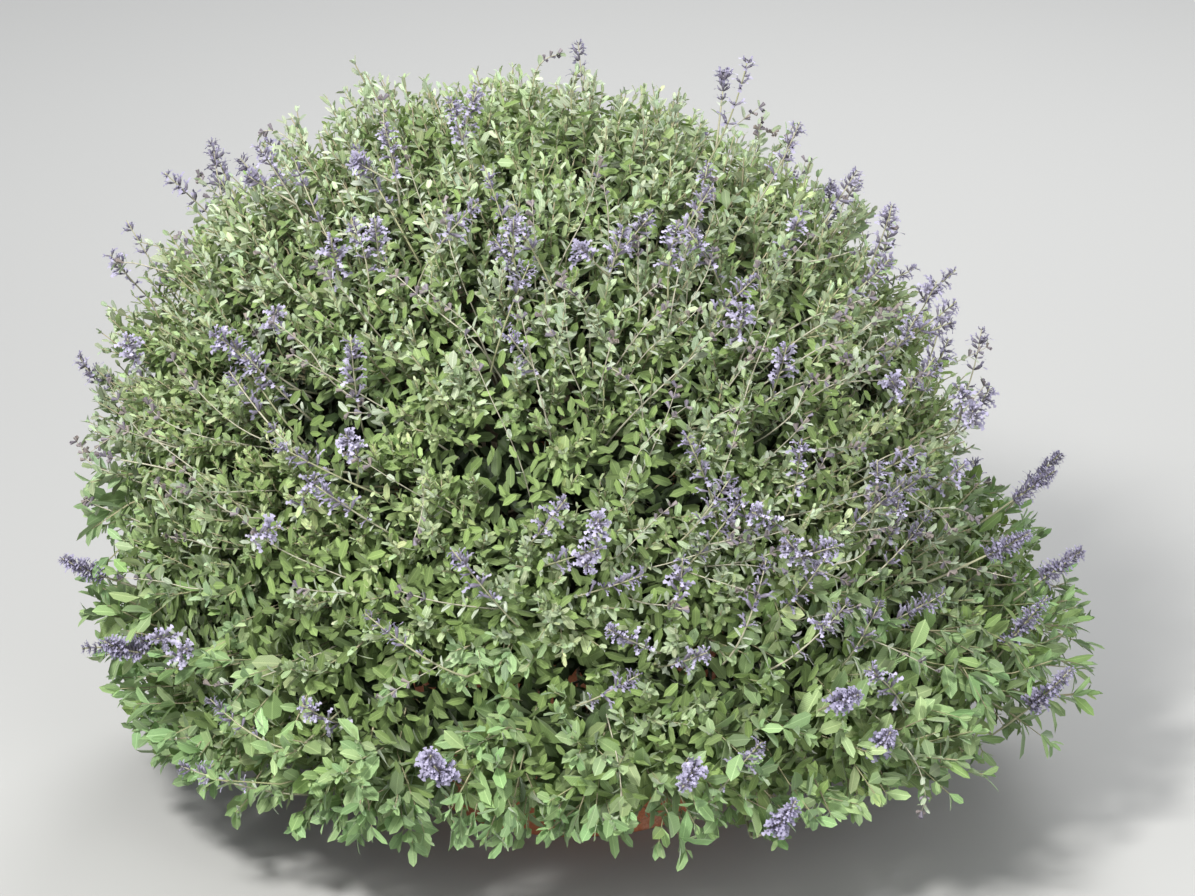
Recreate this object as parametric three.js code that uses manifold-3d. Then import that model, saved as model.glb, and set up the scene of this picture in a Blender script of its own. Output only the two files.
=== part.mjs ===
// San Miguel mountain sage in a plain clay pot: a low, wide mound of small grey-green leaves with
// lavender-blue flower wands, grown from a woody crown. Millimetres, +Z up. The origin is the
// centre of the pot's flat base, and the side that is usually looked at faces -Y.

import * as THREE from "three";
import { mergeVertices } from "three/addons/utils/BufferGeometryUtils.js";
import Module from "manifold-3d";

const wasm = await Module();
wasm.setup();

// Gap kept between neighbouring solids
const CLEAR = 0.3;

// Points closer than this are one point
const SAME_POINT = 1e-3;

// Pot and soil
const POT_HEIGHT = 300;
const POT_MOUTH_RADIUS = 205;
const POT_BASE_RADIUS = 150;
const POT_WALL = 14;
const POT_FLOOR = 18;
const POT_SIDES = 28;
const RIM_BAND = { height: 52, proud: 9, chamfer: 4, lip: { inset: 3, rise: 2 } };
const DRAIN_HOLES = { count: 4, radius: 9, circle: 85, sides: 8 };
const SOIL = {
  level: POT_HEIGHT - 30, mound: 10, shoulder: { at: 0.5, rise: 7 },
  bump: { height: 3, waves: [23, 19], within: 0.9, below: 1 },
};

// Outline of the foliage: a ball-shaped dome that sits in a wider, flatter skirt
const DOME = { centre: [-45, 0, 307], radii: [450, 445, 450] };
const SKIRT = { centre: [18, 0, 178], radii: [500, 505], rise: 190, drop: 45, squareness: 4 };

// How the outline's surface is found: steps inwards from outside it, then halvings
const SCAN = { farthest: 700, step: 8, halvings: 8 };

// Shoots radiate from this point, a little above the soil
const GROWTH_CENTRE = new THREE.Vector3(0, 0, 307);

// Leafy clumps, in rings from the skirt to the top. The lowest ring bounds the skirt and is bare.
const CLUMP_RINGS = [
  { elevation: -15, count: 9, turn: 0, shoots: 5, leaf: [92, 38] },
  { elevation: 13, count: 8, turn: 20, shoots: 5, leaf: [86, 34] },
  { elevation: 41, count: 5, turn: 5, shoots: 5, leaf: [84, 33] },
  { elevation: 67, count: 3, turn: 40, shoots: 4, leaf: [82, 33] },
  { elevation: 90, count: 1, turn: 0, shoots: 3, leaf: [80, 32] },
];
const BARE_RING = { elevation: -30, count: 9, turn: 0 };

// A clump's heart: a thick-centred rosette of broad leaves that its shoot tips stand out of
const HEART = {
  depth: 58, hubRise: 8, hubDrop: 26, fold: 9, stagger: 7, roughness: 4, flankTurn: 0.4,
  insets: { notch: 24, flank: 9, tip: 3 }, scanStep: 3,
};
const CELL_MARGIN = 1.2;
// How far a seat that misses its heart is drawn towards the middle at a time
const SEAT_STEP = 0.1;

// A shoot tip: two crossed pairs of leaves at the end of a stem that leans out of the heart
const SHOOT = {
  depths: [28, -6, 12], spread: 0.66, footSpread: 0.5, sunk: 5,
  stemSides: 3, cornerShift: 0.1, footRadius: 3, neckRadius: 1,
  pairs: 2, step: Math.PI / 2, notch: 0.13, thickness: 4, least: 0.3,
  pairLengths: [1, 0.88], pairLifts: [0.14, 0.3],
  attempts: 36, sizes: [1, 0.9, 0.8, 0.7, 0.6, 0.5], crossing: 0.5,
  turn: 0.4, inward: [0.75, 1.08], middle: 0.2, rise: 0.2, lean: { share: 0.2, elevation: 60 },
};
// Half a leaf's outline, as shares of its length and of its width
const LEAF_SHAPE = [{ along: 0.45, half: 0.5 }, { along: 0.95, half: 0.2 }];
const LEAF_ARCH = 0.0035;
const LEAF_FOLD = 0.3;
// How a leaf varies in length, and how it narrows and shortens where its cell has no room
const LEAF_FIT = { lengths: [0.9, 1.1], narrowest: 0.4, step: 0.06 };

// Flower wands: a bare stalk with rings of florets near its tip, and denser spikes on the skirt.
// A stalk is straight and bare up to a share of its length, and its foot is some way from where
// its heading leaves the heart's face to the middle of that face.
const STALK_RADIUS = 2.2;
const STALK = { bareTo: 0.3, tipShare: 0.6, floretMargin: 2, footShare: 0.5 };
const WAND_SIDES = 6;
// Shares of a wand's length that it runs square to the foliage and towards the light
const WAND_BEND = { square: [0.25, 0.3], light: [0.3, 0.7], sway: { wand: 0.5, spike: 0.9 } };
const SIDE_WAND = { every: 3, from: 0.34, along: 0.8, aside: 0.6, length: 0.5 };
const SPRAY_GUARD = 0.6;
const WAND_WHORLS = [
  { at: 0.6, radius: 15 },
  { at: 0.79, radius: 13 },
  { at: 0.96, radius: 9 },
];
const SIDE_WHORLS = [{ at: 0.9, radius: 12 }];
// A whorl's two tiers of three florets, as shares of its radius
const WHORL = { rise: 0.32, foot: 1.6, lift: 3, lower: [1, 0.36], upper: [0.34, 0.9] };
const SPIKE = {
  from: 0.46, to: 0.98, collar: 0.03, tiers: 8, radius: 13, waist: 7, taper: 0.55, roundness: 2.2,
  lift: 2, tip: 1.6,
};

// Flower sites on the front, on the plane of a view from 20 degrees above: millimetres across
// from the pot's axis and up from its base, with the stalk's length
const VIEW_ELEVATION = 20;
const FRONT_WANDS = [
  { across: 125, up: 640, length: 160 },
  { across: 208, up: 606, length: 140 },
  { across: -98, up: 640, length: 110 },
  { across: -203, up: 600, length: 105 },
  { across: -65, up: 510, length: 120 },
  { across: -225, up: 505, length: 105 },
  { across: 30, up: 525, length: 105 },
  { across: 120, up: 500, length: 120 },
  { across: 290, up: 515, length: 110 },
  { across: 330, up: 440, length: 135 },
  { across: -325, up: 400, length: 110 },
  { across: -225, up: 290, length: 110 },
  { across: -15, up: 225, length: 105 },
  { across: 215, up: 215, length: 110 },
  { across: 300, up: 300, length: 115 },
];
const FRONT_SPIKES = [
  { across: 440, up: 250, length: 120 },
  { across: 415, up: 160, length: 120 },
  { across: 505, up: 140, length: 120 },
  { across: 270, up: 45, length: 105 },
  { across: -130, up: 25, length: 115 },
  { across: -470, up: 180, length: 115 },
  { across: -430, up: 110, length: 110 },
];
// Wands on the sides and back, spread evenly round the plant
const BACK_WANDS = { count: 9, from: 62, to: 298, elevations: [50, -8, 28, 12], length: 115 };

// Woody crown: stems that leave the soil together, each forking to a branch for each clump
const CROWN = {
  stems: 6, turn: 12, spread: 36, footSpread: 12.6, depth: 75, knee: 20, holeGap: 1.5 * CLEAR,
  stemRadius: 12, neckRadius: 8, sides: 4, segments: 3,
  forkSpread: 70, forkRises: [80, 104], knuckle: 14,
  branchSides: 3, branchRadius: 4.6, tipRadius: 0.7, tipGap: 0.7, start: 8.4,
};

// Where the lowest branches cross the pot's rim
const RIM_CROSSING = { radius: 228, height: 26, slope: 60, steepest: 0.4 };

// Where each kind of random choice starts
const SEEDS = { hearts: 41, shoots: 287, sideWands: 451 };
const DEG = Math.PI / 180;
const UP = new THREE.Vector3(0, 0, 1);

const COLOURS = {
  clay: { color: "#b0694a", roughness: 0.9 },
  soil: { color: "#41342a", roughness: 1 },
  bark: { color: "#8c7d66", roughness: 0.9 },
  domeLeaf: { color: "#82986a", roughness: 0.75 },
  skirtLeaf: { color: "#6f8c57", roughness: 0.7 },
  flower: { color: "#9a92bd", roughness: 0.7 },
};

// Repeatable random numbers from 0 to 1
function seededRandom(seed) {
  let state = seed >>> 0;
  return () => {
    state = (state + 0x6d2b79f5) >>> 0;
    let t = Math.imul(state ^ (state >>> 15), state | 1);
    t ^= t + Math.imul(t ^ (t >>> 7), t | 61);
    return ((t ^ (t >>> 14)) >>> 0) / 4294967296;
  };
}

function between(random, low, high) {
  return low + (high - low) * random();
}

function direction(azimuth, elevation) {
  const flat = Math.cos(elevation * DEG);
  return new THREE.Vector3(
    flat * Math.cos(azimuth * DEG), flat * Math.sin(azimuth * DEG), Math.sin(elevation * DEG),
  );
}

// Two unit vectors square to a direction and to each other
function acrossFrom(axis) {
  const helper = Math.abs(axis.z) < 0.9 ? UP : new THREE.Vector3(1, 0, 0);
  const side = new THREE.Vector3().crossVectors(helper, axis).normalize();
  const other = new THREE.Vector3().crossVectors(axis, side);
  return [side, other];
}

// A point at an angle and a radius round an axis, raised along it
function around(centre, axis, frame, angle, radius, rise = 0) {
  return centre.clone()
    .addScaledVector(frame[0], radius * Math.cos(angle))
    .addScaledVector(frame[1], radius * Math.sin(angle))
    .addScaledVector(axis, rise);
}

function circleOf(sides, centre, axis, frame, radius) {
  return Array.from({ length: sides }, (_, k) =>
    around(centre, axis, frame, (k / sides) * 2 * Math.PI, radius));
}

// Geometry from points and triangles
function geometryFrom(points, triangles) {
  const geometry = new THREE.BufferGeometry().setFromPoints(points);
  geometry.setIndex(triangles);
  return geometry;
}

// A closed geometry as a solid that can be joined and cut
function solidFrom(geometry) {
  const bare = geometry.clone();
  bare.deleteAttribute("normal");
  bare.deleteAttribute("uv");
  const merged = mergeVertices(bare, SAME_POINT);
  return new wasm.Manifold(new wasm.Mesh({
    numProp: 3,
    vertProperties: new Float32Array(merged.attributes.position.array),
    triVerts: new Uint32Array(merged.index.array),
  }));
}

// The largest body of a solid, with the hollows that joining sealed filled in
function oneBody(solid) {
  return solid.decompose().reduce((best, body) => (body.volume() > best.volume() ? body : best));
}

function meshFrom(name, solid, look) {
  const { numProp, vertProperties, triVerts } = oneBody(solid).getMesh();
  const positions = new Float32Array((vertProperties.length / numProp) * 3);
  for (let i = 0; i * numProp < vertProperties.length; i += 1) {
    positions.set(vertProperties.subarray(i * numProp, i * numProp + 3), i * 3);
  }
  const geometry = new THREE.BufferGeometry();
  geometry.setAttribute("position", new THREE.BufferAttribute(positions, 3));
  geometry.setIndex(new THREE.BufferAttribute(triVerts, 1));
  geometry.computeVertexNormals();
  const material = new THREE.MeshStandardMaterial({ ...look, metalness: 0, flatShading: true });
  const mesh = new THREE.Mesh(geometry, material);
  mesh.name = name;
  return mesh;
}

// A closed tube whose rings are given as lists of points, each list as long as the others
function skin(rings) {
  const sides = rings[0].length;
  const points = rings.flat();
  const triangles = [];
  for (let ring = 0; ring + 1 < rings.length; ring += 1) {
    for (let i = 0; i < sides; i += 1) {
      const a = ring * sides + i;
      const b = ring * sides + ((i + 1) % sides);
      triangles.push(a, b, b + sides, a, b + sides, a + sides);
    }
  }
  const last = (rings.length - 1) * sides;
  for (let i = 1; i + 1 < sides; i += 1) {
    triangles.push(0, i + 1, i, last, last + i, last + i + 1);
  }
  return solidFrom(geometryFrom(points, triangles));
}

// A thin body between an outline and a point on either side of it. Both faces are split alike, so
// that they never cross.
function twoFans(outline, top, under) {
  const n = outline.length;
  const triangles = outline.flatMap((_, k) => {
    const next = (k + 1) % n;
    return [n, k, next, n + 1, next, k];
  });
  return geometryFrom([...outline, top, under], triangles);
}

// Frames along a curve that don't twist: a point, its direction and two unit vectors across it
function framesAlong(curve, stops) {
  let side = null;
  return stops.map((t) => {
    const axis = curve.getTangentAt(t);
    if (!side) side = acrossFrom(axis)[0];
    side = side.clone().addScaledVector(axis, -side.dot(axis)).normalize();
    const other = new THREE.Vector3().crossVectors(axis, side);
    return { centre: curve.getPointAt(t), axis, frame: [side, other] };
  });
}

function taperedTube(curve, segments, sides, fromRadius, toRadius) {
  const stops = Array.from({ length: segments + 1 }, (_, i) => i / segments);
  return skin(framesAlong(curve, stops).map(({ centre, axis, frame }, i) => {
    const radius = THREE.MathUtils.lerp(fromRadius, toRadius, stops[i]);
    return circleOf(sides, centre, axis, frame, radius);
  }));
}

// The pot: one clay wall and floor with a plain band at the mouth and drain holes in the floor
function potBodyRadius(height) {
  return THREE.MathUtils.lerp(POT_BASE_RADIUS, POT_MOUTH_RADIUS, height / POT_HEIGHT);
}

function makePot() {
  const bandFoot = POT_HEIGHT - RIM_BAND.height;
  const bandRadius = POT_MOUTH_RADIUS + RIM_BAND.proud;
  const profile = [
    [0, 0],
    [POT_BASE_RADIUS, 0],
    [potBodyRadius(bandFoot), bandFoot],
    [bandRadius - RIM_BAND.lip.inset, bandFoot + RIM_BAND.lip.rise],
    [bandRadius, POT_HEIGHT - RIM_BAND.chamfer],
    [bandRadius - RIM_BAND.chamfer, POT_HEIGHT],
    [POT_MOUTH_RADIUS - POT_WALL, POT_HEIGHT],
    [POT_BASE_RADIUS - POT_WALL, POT_FLOOR],
    [0, POT_FLOOR],
  ].map(([radius, height]) => new THREE.Vector2(radius, height));
  const turned = new THREE.LatheGeometry(profile, POT_SIDES);
  turned.rotateX(Math.PI / 2);
  let pot = solidFrom(turned);
  for (let i = 0; i < DRAIN_HOLES.count; i += 1) {
    const angle = ((i + 0.5) / DRAIN_HOLES.count) * 2 * Math.PI;
    const drill = new THREE.CylinderGeometry(
      DRAIN_HOLES.radius, DRAIN_HOLES.radius, POT_FLOOR * 3, DRAIN_HOLES.sides,
    );
    drill.rotateX(Math.PI / 2);
    drill.translate(DRAIN_HOLES.circle * Math.cos(angle), DRAIN_HOLES.circle * Math.sin(angle), 0);
    pot = pot.subtract(solidFrom(drill));
  }
  return pot;
}

// The soil: fills the pot, and its top is a low uneven mound with a hole round each stem
function makeSoil(stems) {
  const floor = POT_FLOOR + CLEAR;
  const { level, mound, shoulder, bump } = SOIL;
  const wallRadius = (height) => {
    const share = (height - POT_FLOOR) / (POT_HEIGHT - POT_FLOOR);
    const inside = THREE.MathUtils.lerp(
      POT_BASE_RADIUS - POT_WALL, POT_MOUTH_RADIUS - POT_WALL, share,
    );
    return inside - CLEAR;
  };
  const edge = wallRadius(level);
  const profile = [
    [0, floor],
    [wallRadius(floor), floor],
    [edge, level],
    [edge * shoulder.at, level + shoulder.rise],
    [0, level + mound],
  ].map(([radius, height]) => new THREE.Vector2(radius, height));
  const turned = new THREE.LatheGeometry(profile, POT_SIDES);
  turned.rotateX(Math.PI / 2);
  const at = turned.attributes.position;
  for (let i = 0; i < at.count; i += 1) {
    const [x, y, z] = [at.getX(i), at.getY(i), at.getZ(i)];
    const unevenness = bump.height * Math.sin(x / bump.waves[0]) * Math.cos(y / bump.waves[1]);
    const inner = z > level - bump.below && Math.hypot(x, y) < edge * bump.within;
    if (inner) at.setZ(i, z + unevenness);
  }
  return solidFrom(turned).subtract(stems);
}

// Whether a point is in the foliage's outline
function inFoliage(p) {
  const dome = ["x", "y", "z"].reduce(
    (sum, key, i) => sum + ((p[key] - DOME.centre[i]) / DOME.radii[i]) ** 2, 0,
  );
  if (dome <= 1) return true;
  const height = p.z - SKIRT.centre[2];
  const upright = height > 0 ? (height / SKIRT.rise) ** 2 : (height / SKIRT.drop) ** SKIRT.squareness;
  const skirt = ((p.x - SKIRT.centre[0]) / SKIRT.radii[0]) ** 2
    + ((p.y - SKIRT.centre[1]) / SKIRT.radii[1]) ** 2 + upright;
  return skirt <= 1;
}

// How far the foliage reaches from the growth centre in a direction
function reach(heading) {
  const at = (distance) => GROWTH_CENTRE.clone().addScaledVector(heading, distance);
  let outside = SCAN.farthest;
  while (!inFoliage(at(outside - SCAN.step))) outside -= SCAN.step;
  let inside = outside - SCAN.step;
  for (let i = 0; i < SCAN.halvings; i += 1) {
    const middle = (inside + outside) / 2;
    if (inFoliage(at(middle))) inside = middle;
    else outside = middle;
  }
  return inside;
}

function ringDirections({ elevation, count, turn }) {
  return Array.from({ length: count }, (_, i) =>
    direction(turn + (i * 360) / count - 90, elevation));
}

// The clumps' directions from the growth centre, with the bare ring's after them
const clumps = CLUMP_RINGS.flatMap((ring, level) =>
  ringDirections(ring).map((heading) => ({ heading, level, ...ring })));
const allHeadings = [...clumps.map((clump) => clump.heading), ...ringDirections(BARE_RING)];

// Whether a point is nearer to a clump's direction than to any other, by a margin
function inCell(point, index, margin) {
  const from = point.clone().sub(GROWTH_CENTRE);
  const own = allHeadings[index];
  return allHeadings.every((other, i) => {
    if (i === index) return true;
    const across = own.clone().sub(other);
    return from.dot(across) / across.length() > margin;
  });
}

// How wide a clump's cell is, as an angle from its heading, towards a side
function cellWidth(index, towards) {
  const own = allHeadings[index];
  return allHeadings.reduce((least, other, i) => {
    const share = towards.dot(other);
    if (i === index || share <= 1e-9) return least;
    return Math.min(least, Math.atan((1 - own.dot(other)) / share));
  }, Math.PI / 2);
}

function sideways(index, angle) {
  const frame = acrossFrom(allHeadings[index]);
  return frame[0].multiplyScalar(Math.cos(angle)).addScaledVector(frame[1], Math.sin(angle));
}

// A direction in a clump's cell, at an angle round its heading and a share of the cell's width
function headingIn(index, angle, share) {
  const own = allHeadings[index];
  const towards = sideways(index, angle);
  const width = cellWidth(index, towards) * share;
  return own.clone().multiplyScalar(Math.cos(width)).addScaledVector(towards, Math.sin(width));
}

function pointAt(heading, distance) {
  return GROWTH_CENTRE.clone().addScaledVector(heading, distance);
}

// The directions round a clump's heading in which its cell reaches farthest
function cornerAngles(index) {
  const widthAt = (degrees) => cellWidth(index, sideways(index, degrees * DEG));
  const angles = [];
  for (let degrees = 0; degrees < 360; degrees += HEART.scanStep) {
    const here = widthAt(degrees);
    const before = widthAt(degrees - HEART.scanStep);
    if (here > before && here >= widthAt(degrees + HEART.scanStep)) angles.push(degrees * DEG);
  }
  return angles;
}

// A clump's heart: folded broad leaves, to its cell's corners and between them, round a thick hub
function makeHeart(index) {
  const own = allHeadings[index];
  const random = seededRandom(SEEDS.hearts + index);
  const corners = cornerAngles(index);
  const angles = corners.flatMap((angle, k) => {
    const next = corners[k + 1] ?? corners[0] + 2 * Math.PI;
    return [angle, (angle + next) / 2];
  });
  const distance = reach(own) - HEART.depth;
  // a point at an angle round the hub and some way in from the cell's side
  const at = (angle, inset, drop) => {
    const width = cellWidth(index, sideways(index, angle)) * distance;
    const heading = headingIn(index, angle, 1 - inset / width);
    return pointAt(heading, reach(heading) - HEART.depth - drop);
  };
  const outline = angles.flatMap((angle, k) => {
    const before = angles[k - 1] ?? angles[angles.length - 1] - 2 * Math.PI;
    const next = angles[k + 1] ?? angles[0] + 2 * Math.PI;
    const drop = (k % 2 ? HEART.stagger : -HEART.stagger) + between(random, 0, HEART.roughness);
    const turned = (towards) => angle + HEART.flankTurn * (towards - angle);
    return [
      at((before + angle) / 2, HEART.insets.notch, HEART.hubRise),
      at(turned(before), HEART.insets.flank, drop - HEART.fold),
      at(angle, HEART.insets.tip, drop),
      at(turned(next), HEART.insets.flank, drop - HEART.fold),
    ];
  });
  const apex = pointAt(own, reach(own) - HEART.depth + HEART.hubRise);
  const seat = pointAt(own, reach(own) - HEART.depth - HEART.hubDrop);
  return { geometry: twoFans(outline, apex, seat), corners, seat };
}

// Where a ray from the growth centre leaves a heart: the point and the face's outward normal
function surfaceHit(geometry, heading) {
  const ray = new THREE.Ray(GROWTH_CENTRE, heading);
  const at = geometry.attributes.position;
  let best = null;
  for (let i = 0; i < geometry.index.count; i += 3) {
    const corners = [0, 1, 2].map((k) =>
      new THREE.Vector3().fromBufferAttribute(at, geometry.index.getX(i + k)));
    const point = ray.intersectTriangle(...corners, false, new THREE.Vector3());
    const distance = point ? point.distanceTo(GROWTH_CENTRE) : 0;
    const triangle = new THREE.Triangle(...corners);
    const normal = triangle.getNormal(new THREE.Vector3());
    if (point && normal.dot(heading) > 0 && (!best || distance > best.distance)) {
      best = { point, distance, normal, middle: triangle.getMidpoint(new THREE.Vector3()) };
    }
  }
  return best;
}

// The place on a clump's heart that is nearest to a heading, drawn in from the clump's bare edge
function seatOn(index, heading) {
  const drawnIn = heading.clone();
  let hit = surfaceHit(hearts[index].geometry, drawnIn);
  while (!hit) {
    drawnIn.lerp(clumps[index].heading, SEAT_STEP).normalize();
    hit = surfaceHit(hearts[index].geometry, drawnIn);
  }
  return hit;
}

// The outline of one leaf of a shoot tip, from the notch before it to its last flank
function leafOutline(shoot, { angle, length, width, lift }) {
  const { centre, axis, frame } = shoot;
  const notch = around(centre, axis, frame, angle - SHOOT.step / 2, length * SHOOT.notch);
  const flanks = [...LEAF_SHAPE, ...LEAF_SHAPE.toReversed()].map(({ along, half }, i) => {
    const side = i < LEAF_SHAPE.length ? -1 : 1;
    const angleOff = Math.atan2(side * half * width, along * length);
    const radius = Math.hypot(half * width, along * length);
    const arch = lift * along * length - LEAF_ARCH * (along * length) ** 2;
    return around(centre, axis, frame, angle + angleOff, radius, arch + LEAF_FOLD * half * width);
  });
  return [notch, ...flanks];
}

// A shoot tip: crossed pairs of leaves cut to their bases in one thin star, on a leaning stem
function shootTip(shoot, leaves) {
  const { foot, centre, axis, frame, start } = shoot;
  const outline = leaves.flatMap((leaf) => leafOutline(shoot, leaf));
  const sides = SHOOT.stemSides;
  const corners = (middle, radius) => Array.from({ length: sides }, (_, m) =>
    around(middle, axis, frame, start + ((m - 0.5) / sides) * 2 * Math.PI, radius));
  const points = [
    ...outline,
    centre.clone().addScaledVector(axis, SHOOT.thickness / 2),
    ...corners(centre.clone().addScaledVector(axis, -SHOOT.thickness / 2), SHOOT.neckRadius),
    ...corners(foot, SHOOT.footRadius),
  ];
  const n = outline.length;
  const [top, upper, lower] = [n, n + 1, n + 1 + sides];
  // each point of the outline hangs on the stem corner that is nearest in angle
  const corner = (k) => upper + (Math.round((k / n) * sides + SHOOT.cornerShift) % sides);
  const triangles = [];
  for (let k = 0; k < n; k += 1) {
    const next = (k + 1) % n;
    triangles.push(top, k, next, next, k, corner(k));
    if (corner(k) !== corner(next)) triangles.push(next, corner(k), corner(next));
  }
  for (let m = 0; m < sides; m += 1) {
    const next = (m + 1) % sides;
    triangles.push(upper + m, lower + m, lower + next, upper + m, lower + next, upper + next);
  }
  triangles.push(lower, lower + 2, lower + 1);
  return solidFrom(geometryFrom(points, triangles));
}

// A curve that leaves the foliage square to its surface and turns up towards the light
function wandCurve(base, normal, towards, length) {
  const [near, far] = WAND_BEND.square.map((share) => share * length);
  const [bend, tip] = WAND_BEND.light.map((share) => share * length);
  return new THREE.CubicBezierCurve3(
    base,
    base.clone().addScaledVector(normal, near),
    base.clone().addScaledVector(normal, far).addScaledVector(towards, bend),
    base.clone().addScaledVector(normal, far).addScaledVector(towards, tip),
  );
}

// Rings of points along a wand: bare stalk, then florets in whorls of two tiers
function wandRings(curve, whorls, extra) {
  const plain = (t, radius) => ({ t, radii: [radius, radius], lift: 0 });
  const florets = (t, radius, shares) => ({
    t, radii: shares.map((share) => share * radius), lift: WHORL.lift,
  });
  const length = curve.getLength();
  const stops = [plain(0, STALK_RADIUS), plain(STALK.bareTo, STALK_RADIUS)];
  whorls.forEach(({ at, radius }) => {
    const tier = (radius * WHORL.rise) / length;
    stops.push(plain(at - tier * WHORL.foot, STALK_RADIUS));
    stops.push(florets(at - tier / 2, radius, WHORL.lower));
    stops.push(florets(at + tier / 2, radius, WHORL.upper));
  });
  stops.push(plain(1, STALK_RADIUS * STALK.tipShare));
  return ringsFrom(curve, stops, extra);
}

function spikeRings(curve, extra) {
  const stops = [0, SPIKE.from - SPIKE.collar].map((t) =>
    ({ t, radii: [STALK_RADIUS, STALK_RADIUS], lift: 0 }));
  for (let tier = 0; tier < SPIKE.tiers; tier += 1) {
    const share = tier / (SPIKE.tiers - 1);
    const girth = 1 - SPIKE.taper * share ** SPIKE.roundness;
    const wide = SPIKE.radius * girth;
    const narrow = SPIKE.waist * girth;
    stops.push({
      t: THREE.MathUtils.lerp(SPIKE.from, SPIKE.to, share),
      radii: tier % 2 ? [narrow, wide] : [wide, narrow],
      lift: SPIKE.lift,
    });
  }
  stops.push({ t: 1, radii: [SPIKE.tip, SPIKE.tip], lift: 0 });
  return ringsFrom(curve, stops, extra);
}

function ringsFrom(curve, stops, extra) {
  return framesAlong(curve, stops.map((stop) => stop.t)).map(({ centre, axis, frame }, i) =>
    Array.from({ length: WAND_SIDES }, (_, k) => {
      const radius = stops[i].radii[k % 2];
      const lift = radius > STALK_RADIUS + STALK.floretMargin ? stops[i].lift : 0;
      return around(centre, axis, frame, (k / WAND_SIDES) * 2 * Math.PI, radius + extra, lift);
    }));
}

// A flower spray: a wand with a shorter side wand, or one dense spike
function sprayWith(site, extra) {
  const { base, normal, heading, length, dense } = site;
  const { sway } = WAND_BEND;
  const towards = heading.clone().addScaledVector(UP, dense ? sway.spike : sway.wand).normalize();
  const curve = wandCurve(base, normal, towards, length);
  if (dense) return skin(spikeRings(curve, extra));
  const main = skin(wandRings(curve, WAND_WHORLS, extra));
  if (!site.forked) return main;
  const random = seededRandom(site.seed);
  const [side, other] = acrossFrom(towards);
  const turn = between(random, 0, 2 * Math.PI);
  const lean = side.multiplyScalar(Math.cos(turn)).addScaledVector(other, Math.sin(turn));
  const start = curve.getPointAt(SIDE_WAND.from);
  const aside = towards.clone().multiplyScalar(SIDE_WAND.along)
    .addScaledVector(lean, SIDE_WAND.aside).normalize();
  const sideways = aside.clone().add(towards).normalize();
  const sideCurve = wandCurve(start, aside, sideways, length * SIDE_WAND.length);
  return main.add(skin(wandRings(sideCurve, SIDE_WHORLS, extra)));
}

// The heading of a site on the front, from its place on the view plane
function headingFromView({ across, up }) {
  const e = VIEW_ELEVATION * DEG;
  const point = new THREE.Vector3();
  for (let depth = -SCAN.farthest; depth < SCAN.farthest; depth += SCAN.step / 2) {
    point.set(across, depth, (up - depth * Math.sin(e)) / Math.cos(e));
    if (inFoliage(point)) break;
  }
  return point.sub(GROWTH_CENTRE).normalize();
}

function flowerHeadings() {
  const front = [
    ...FRONT_WANDS.map((site) => ({ ...site, heading: headingFromView(site), dense: false })),
    ...FRONT_SPIKES.map((site) => ({ ...site, heading: headingFromView(site), dense: true })),
  ];
  const back = Array.from({ length: BACK_WANDS.count }, (_, i) => {
    const share = (i + 0.5) / BACK_WANDS.count;
    const elevation = BACK_WANDS.elevations[i % BACK_WANDS.elevations.length];
    const azimuth = THREE.MathUtils.lerp(BACK_WANDS.from, BACK_WANDS.to, share) - 90;
    const dense = elevation < 0;
    return { length: BACK_WANDS.length, heading: direction(azimuth, elevation), dense };
  });
  return [...front, ...back];
}

function nearestClump(heading) {
  const likeness = clumps.map((clump) => clump.heading.dot(heading));
  return likeness.indexOf(Math.max(...likeness));
}

// A shoot's leaves in crossed pairs, each shortened until it stays in its clump's cell
function fittedLeaves(shoot, index, leaf, random) {
  return Array.from({ length: 2 * SHOOT.pairs }, (_, k) => {
    const pair = k % SHOOT.pairs;
    const full = between(random, ...LEAF_FIT.lengths) * SHOOT.pairLengths[pair];
    const sized = (share) => ({
      angle: shoot.start + k * SHOOT.step,
      length: leaf[0] * share,
      width: leaf[1] * THREE.MathUtils.lerp(LEAF_FIT.narrowest, 1, share),
      lift: SHOOT.pairLifts[pair],
    });
    let share = full;
    const stays = () => leafOutline(shoot, sized(share)).every((point) =>
      inCell(point, index, CELL_MARGIN));
    while (share > SHOOT.least && !stays()) share -= LEAF_FIT.step;
    return { ...sized(share), stays: stays() };
  });
}

function shootAt(index, angle, share, depth, random) {
  const heading = headingIn(index, angle, share);
  const centre = pointAt(heading, reach(heading) - depth);
  const seat = seatOn(index, headingIn(index, angle, share * SHOOT.footSpread));
  const foot = seat.point.clone()
    .addScaledVector(centre.clone().sub(seat.point).normalize(), -SHOOT.sunk);
  const { share: leanShare, elevation } = SHOOT.lean;
  const lean = direction(between(random, 0, 360), between(random, -elevation, elevation));
  const axis = heading.clone()
    .addScaledVector(UP, SHOOT.rise).addScaledVector(lean, leanShare).normalize();
  return { foot, centre, axis, frame: acrossFrom(axis), start: between(random, 0, SHOOT.step) };
}

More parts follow.
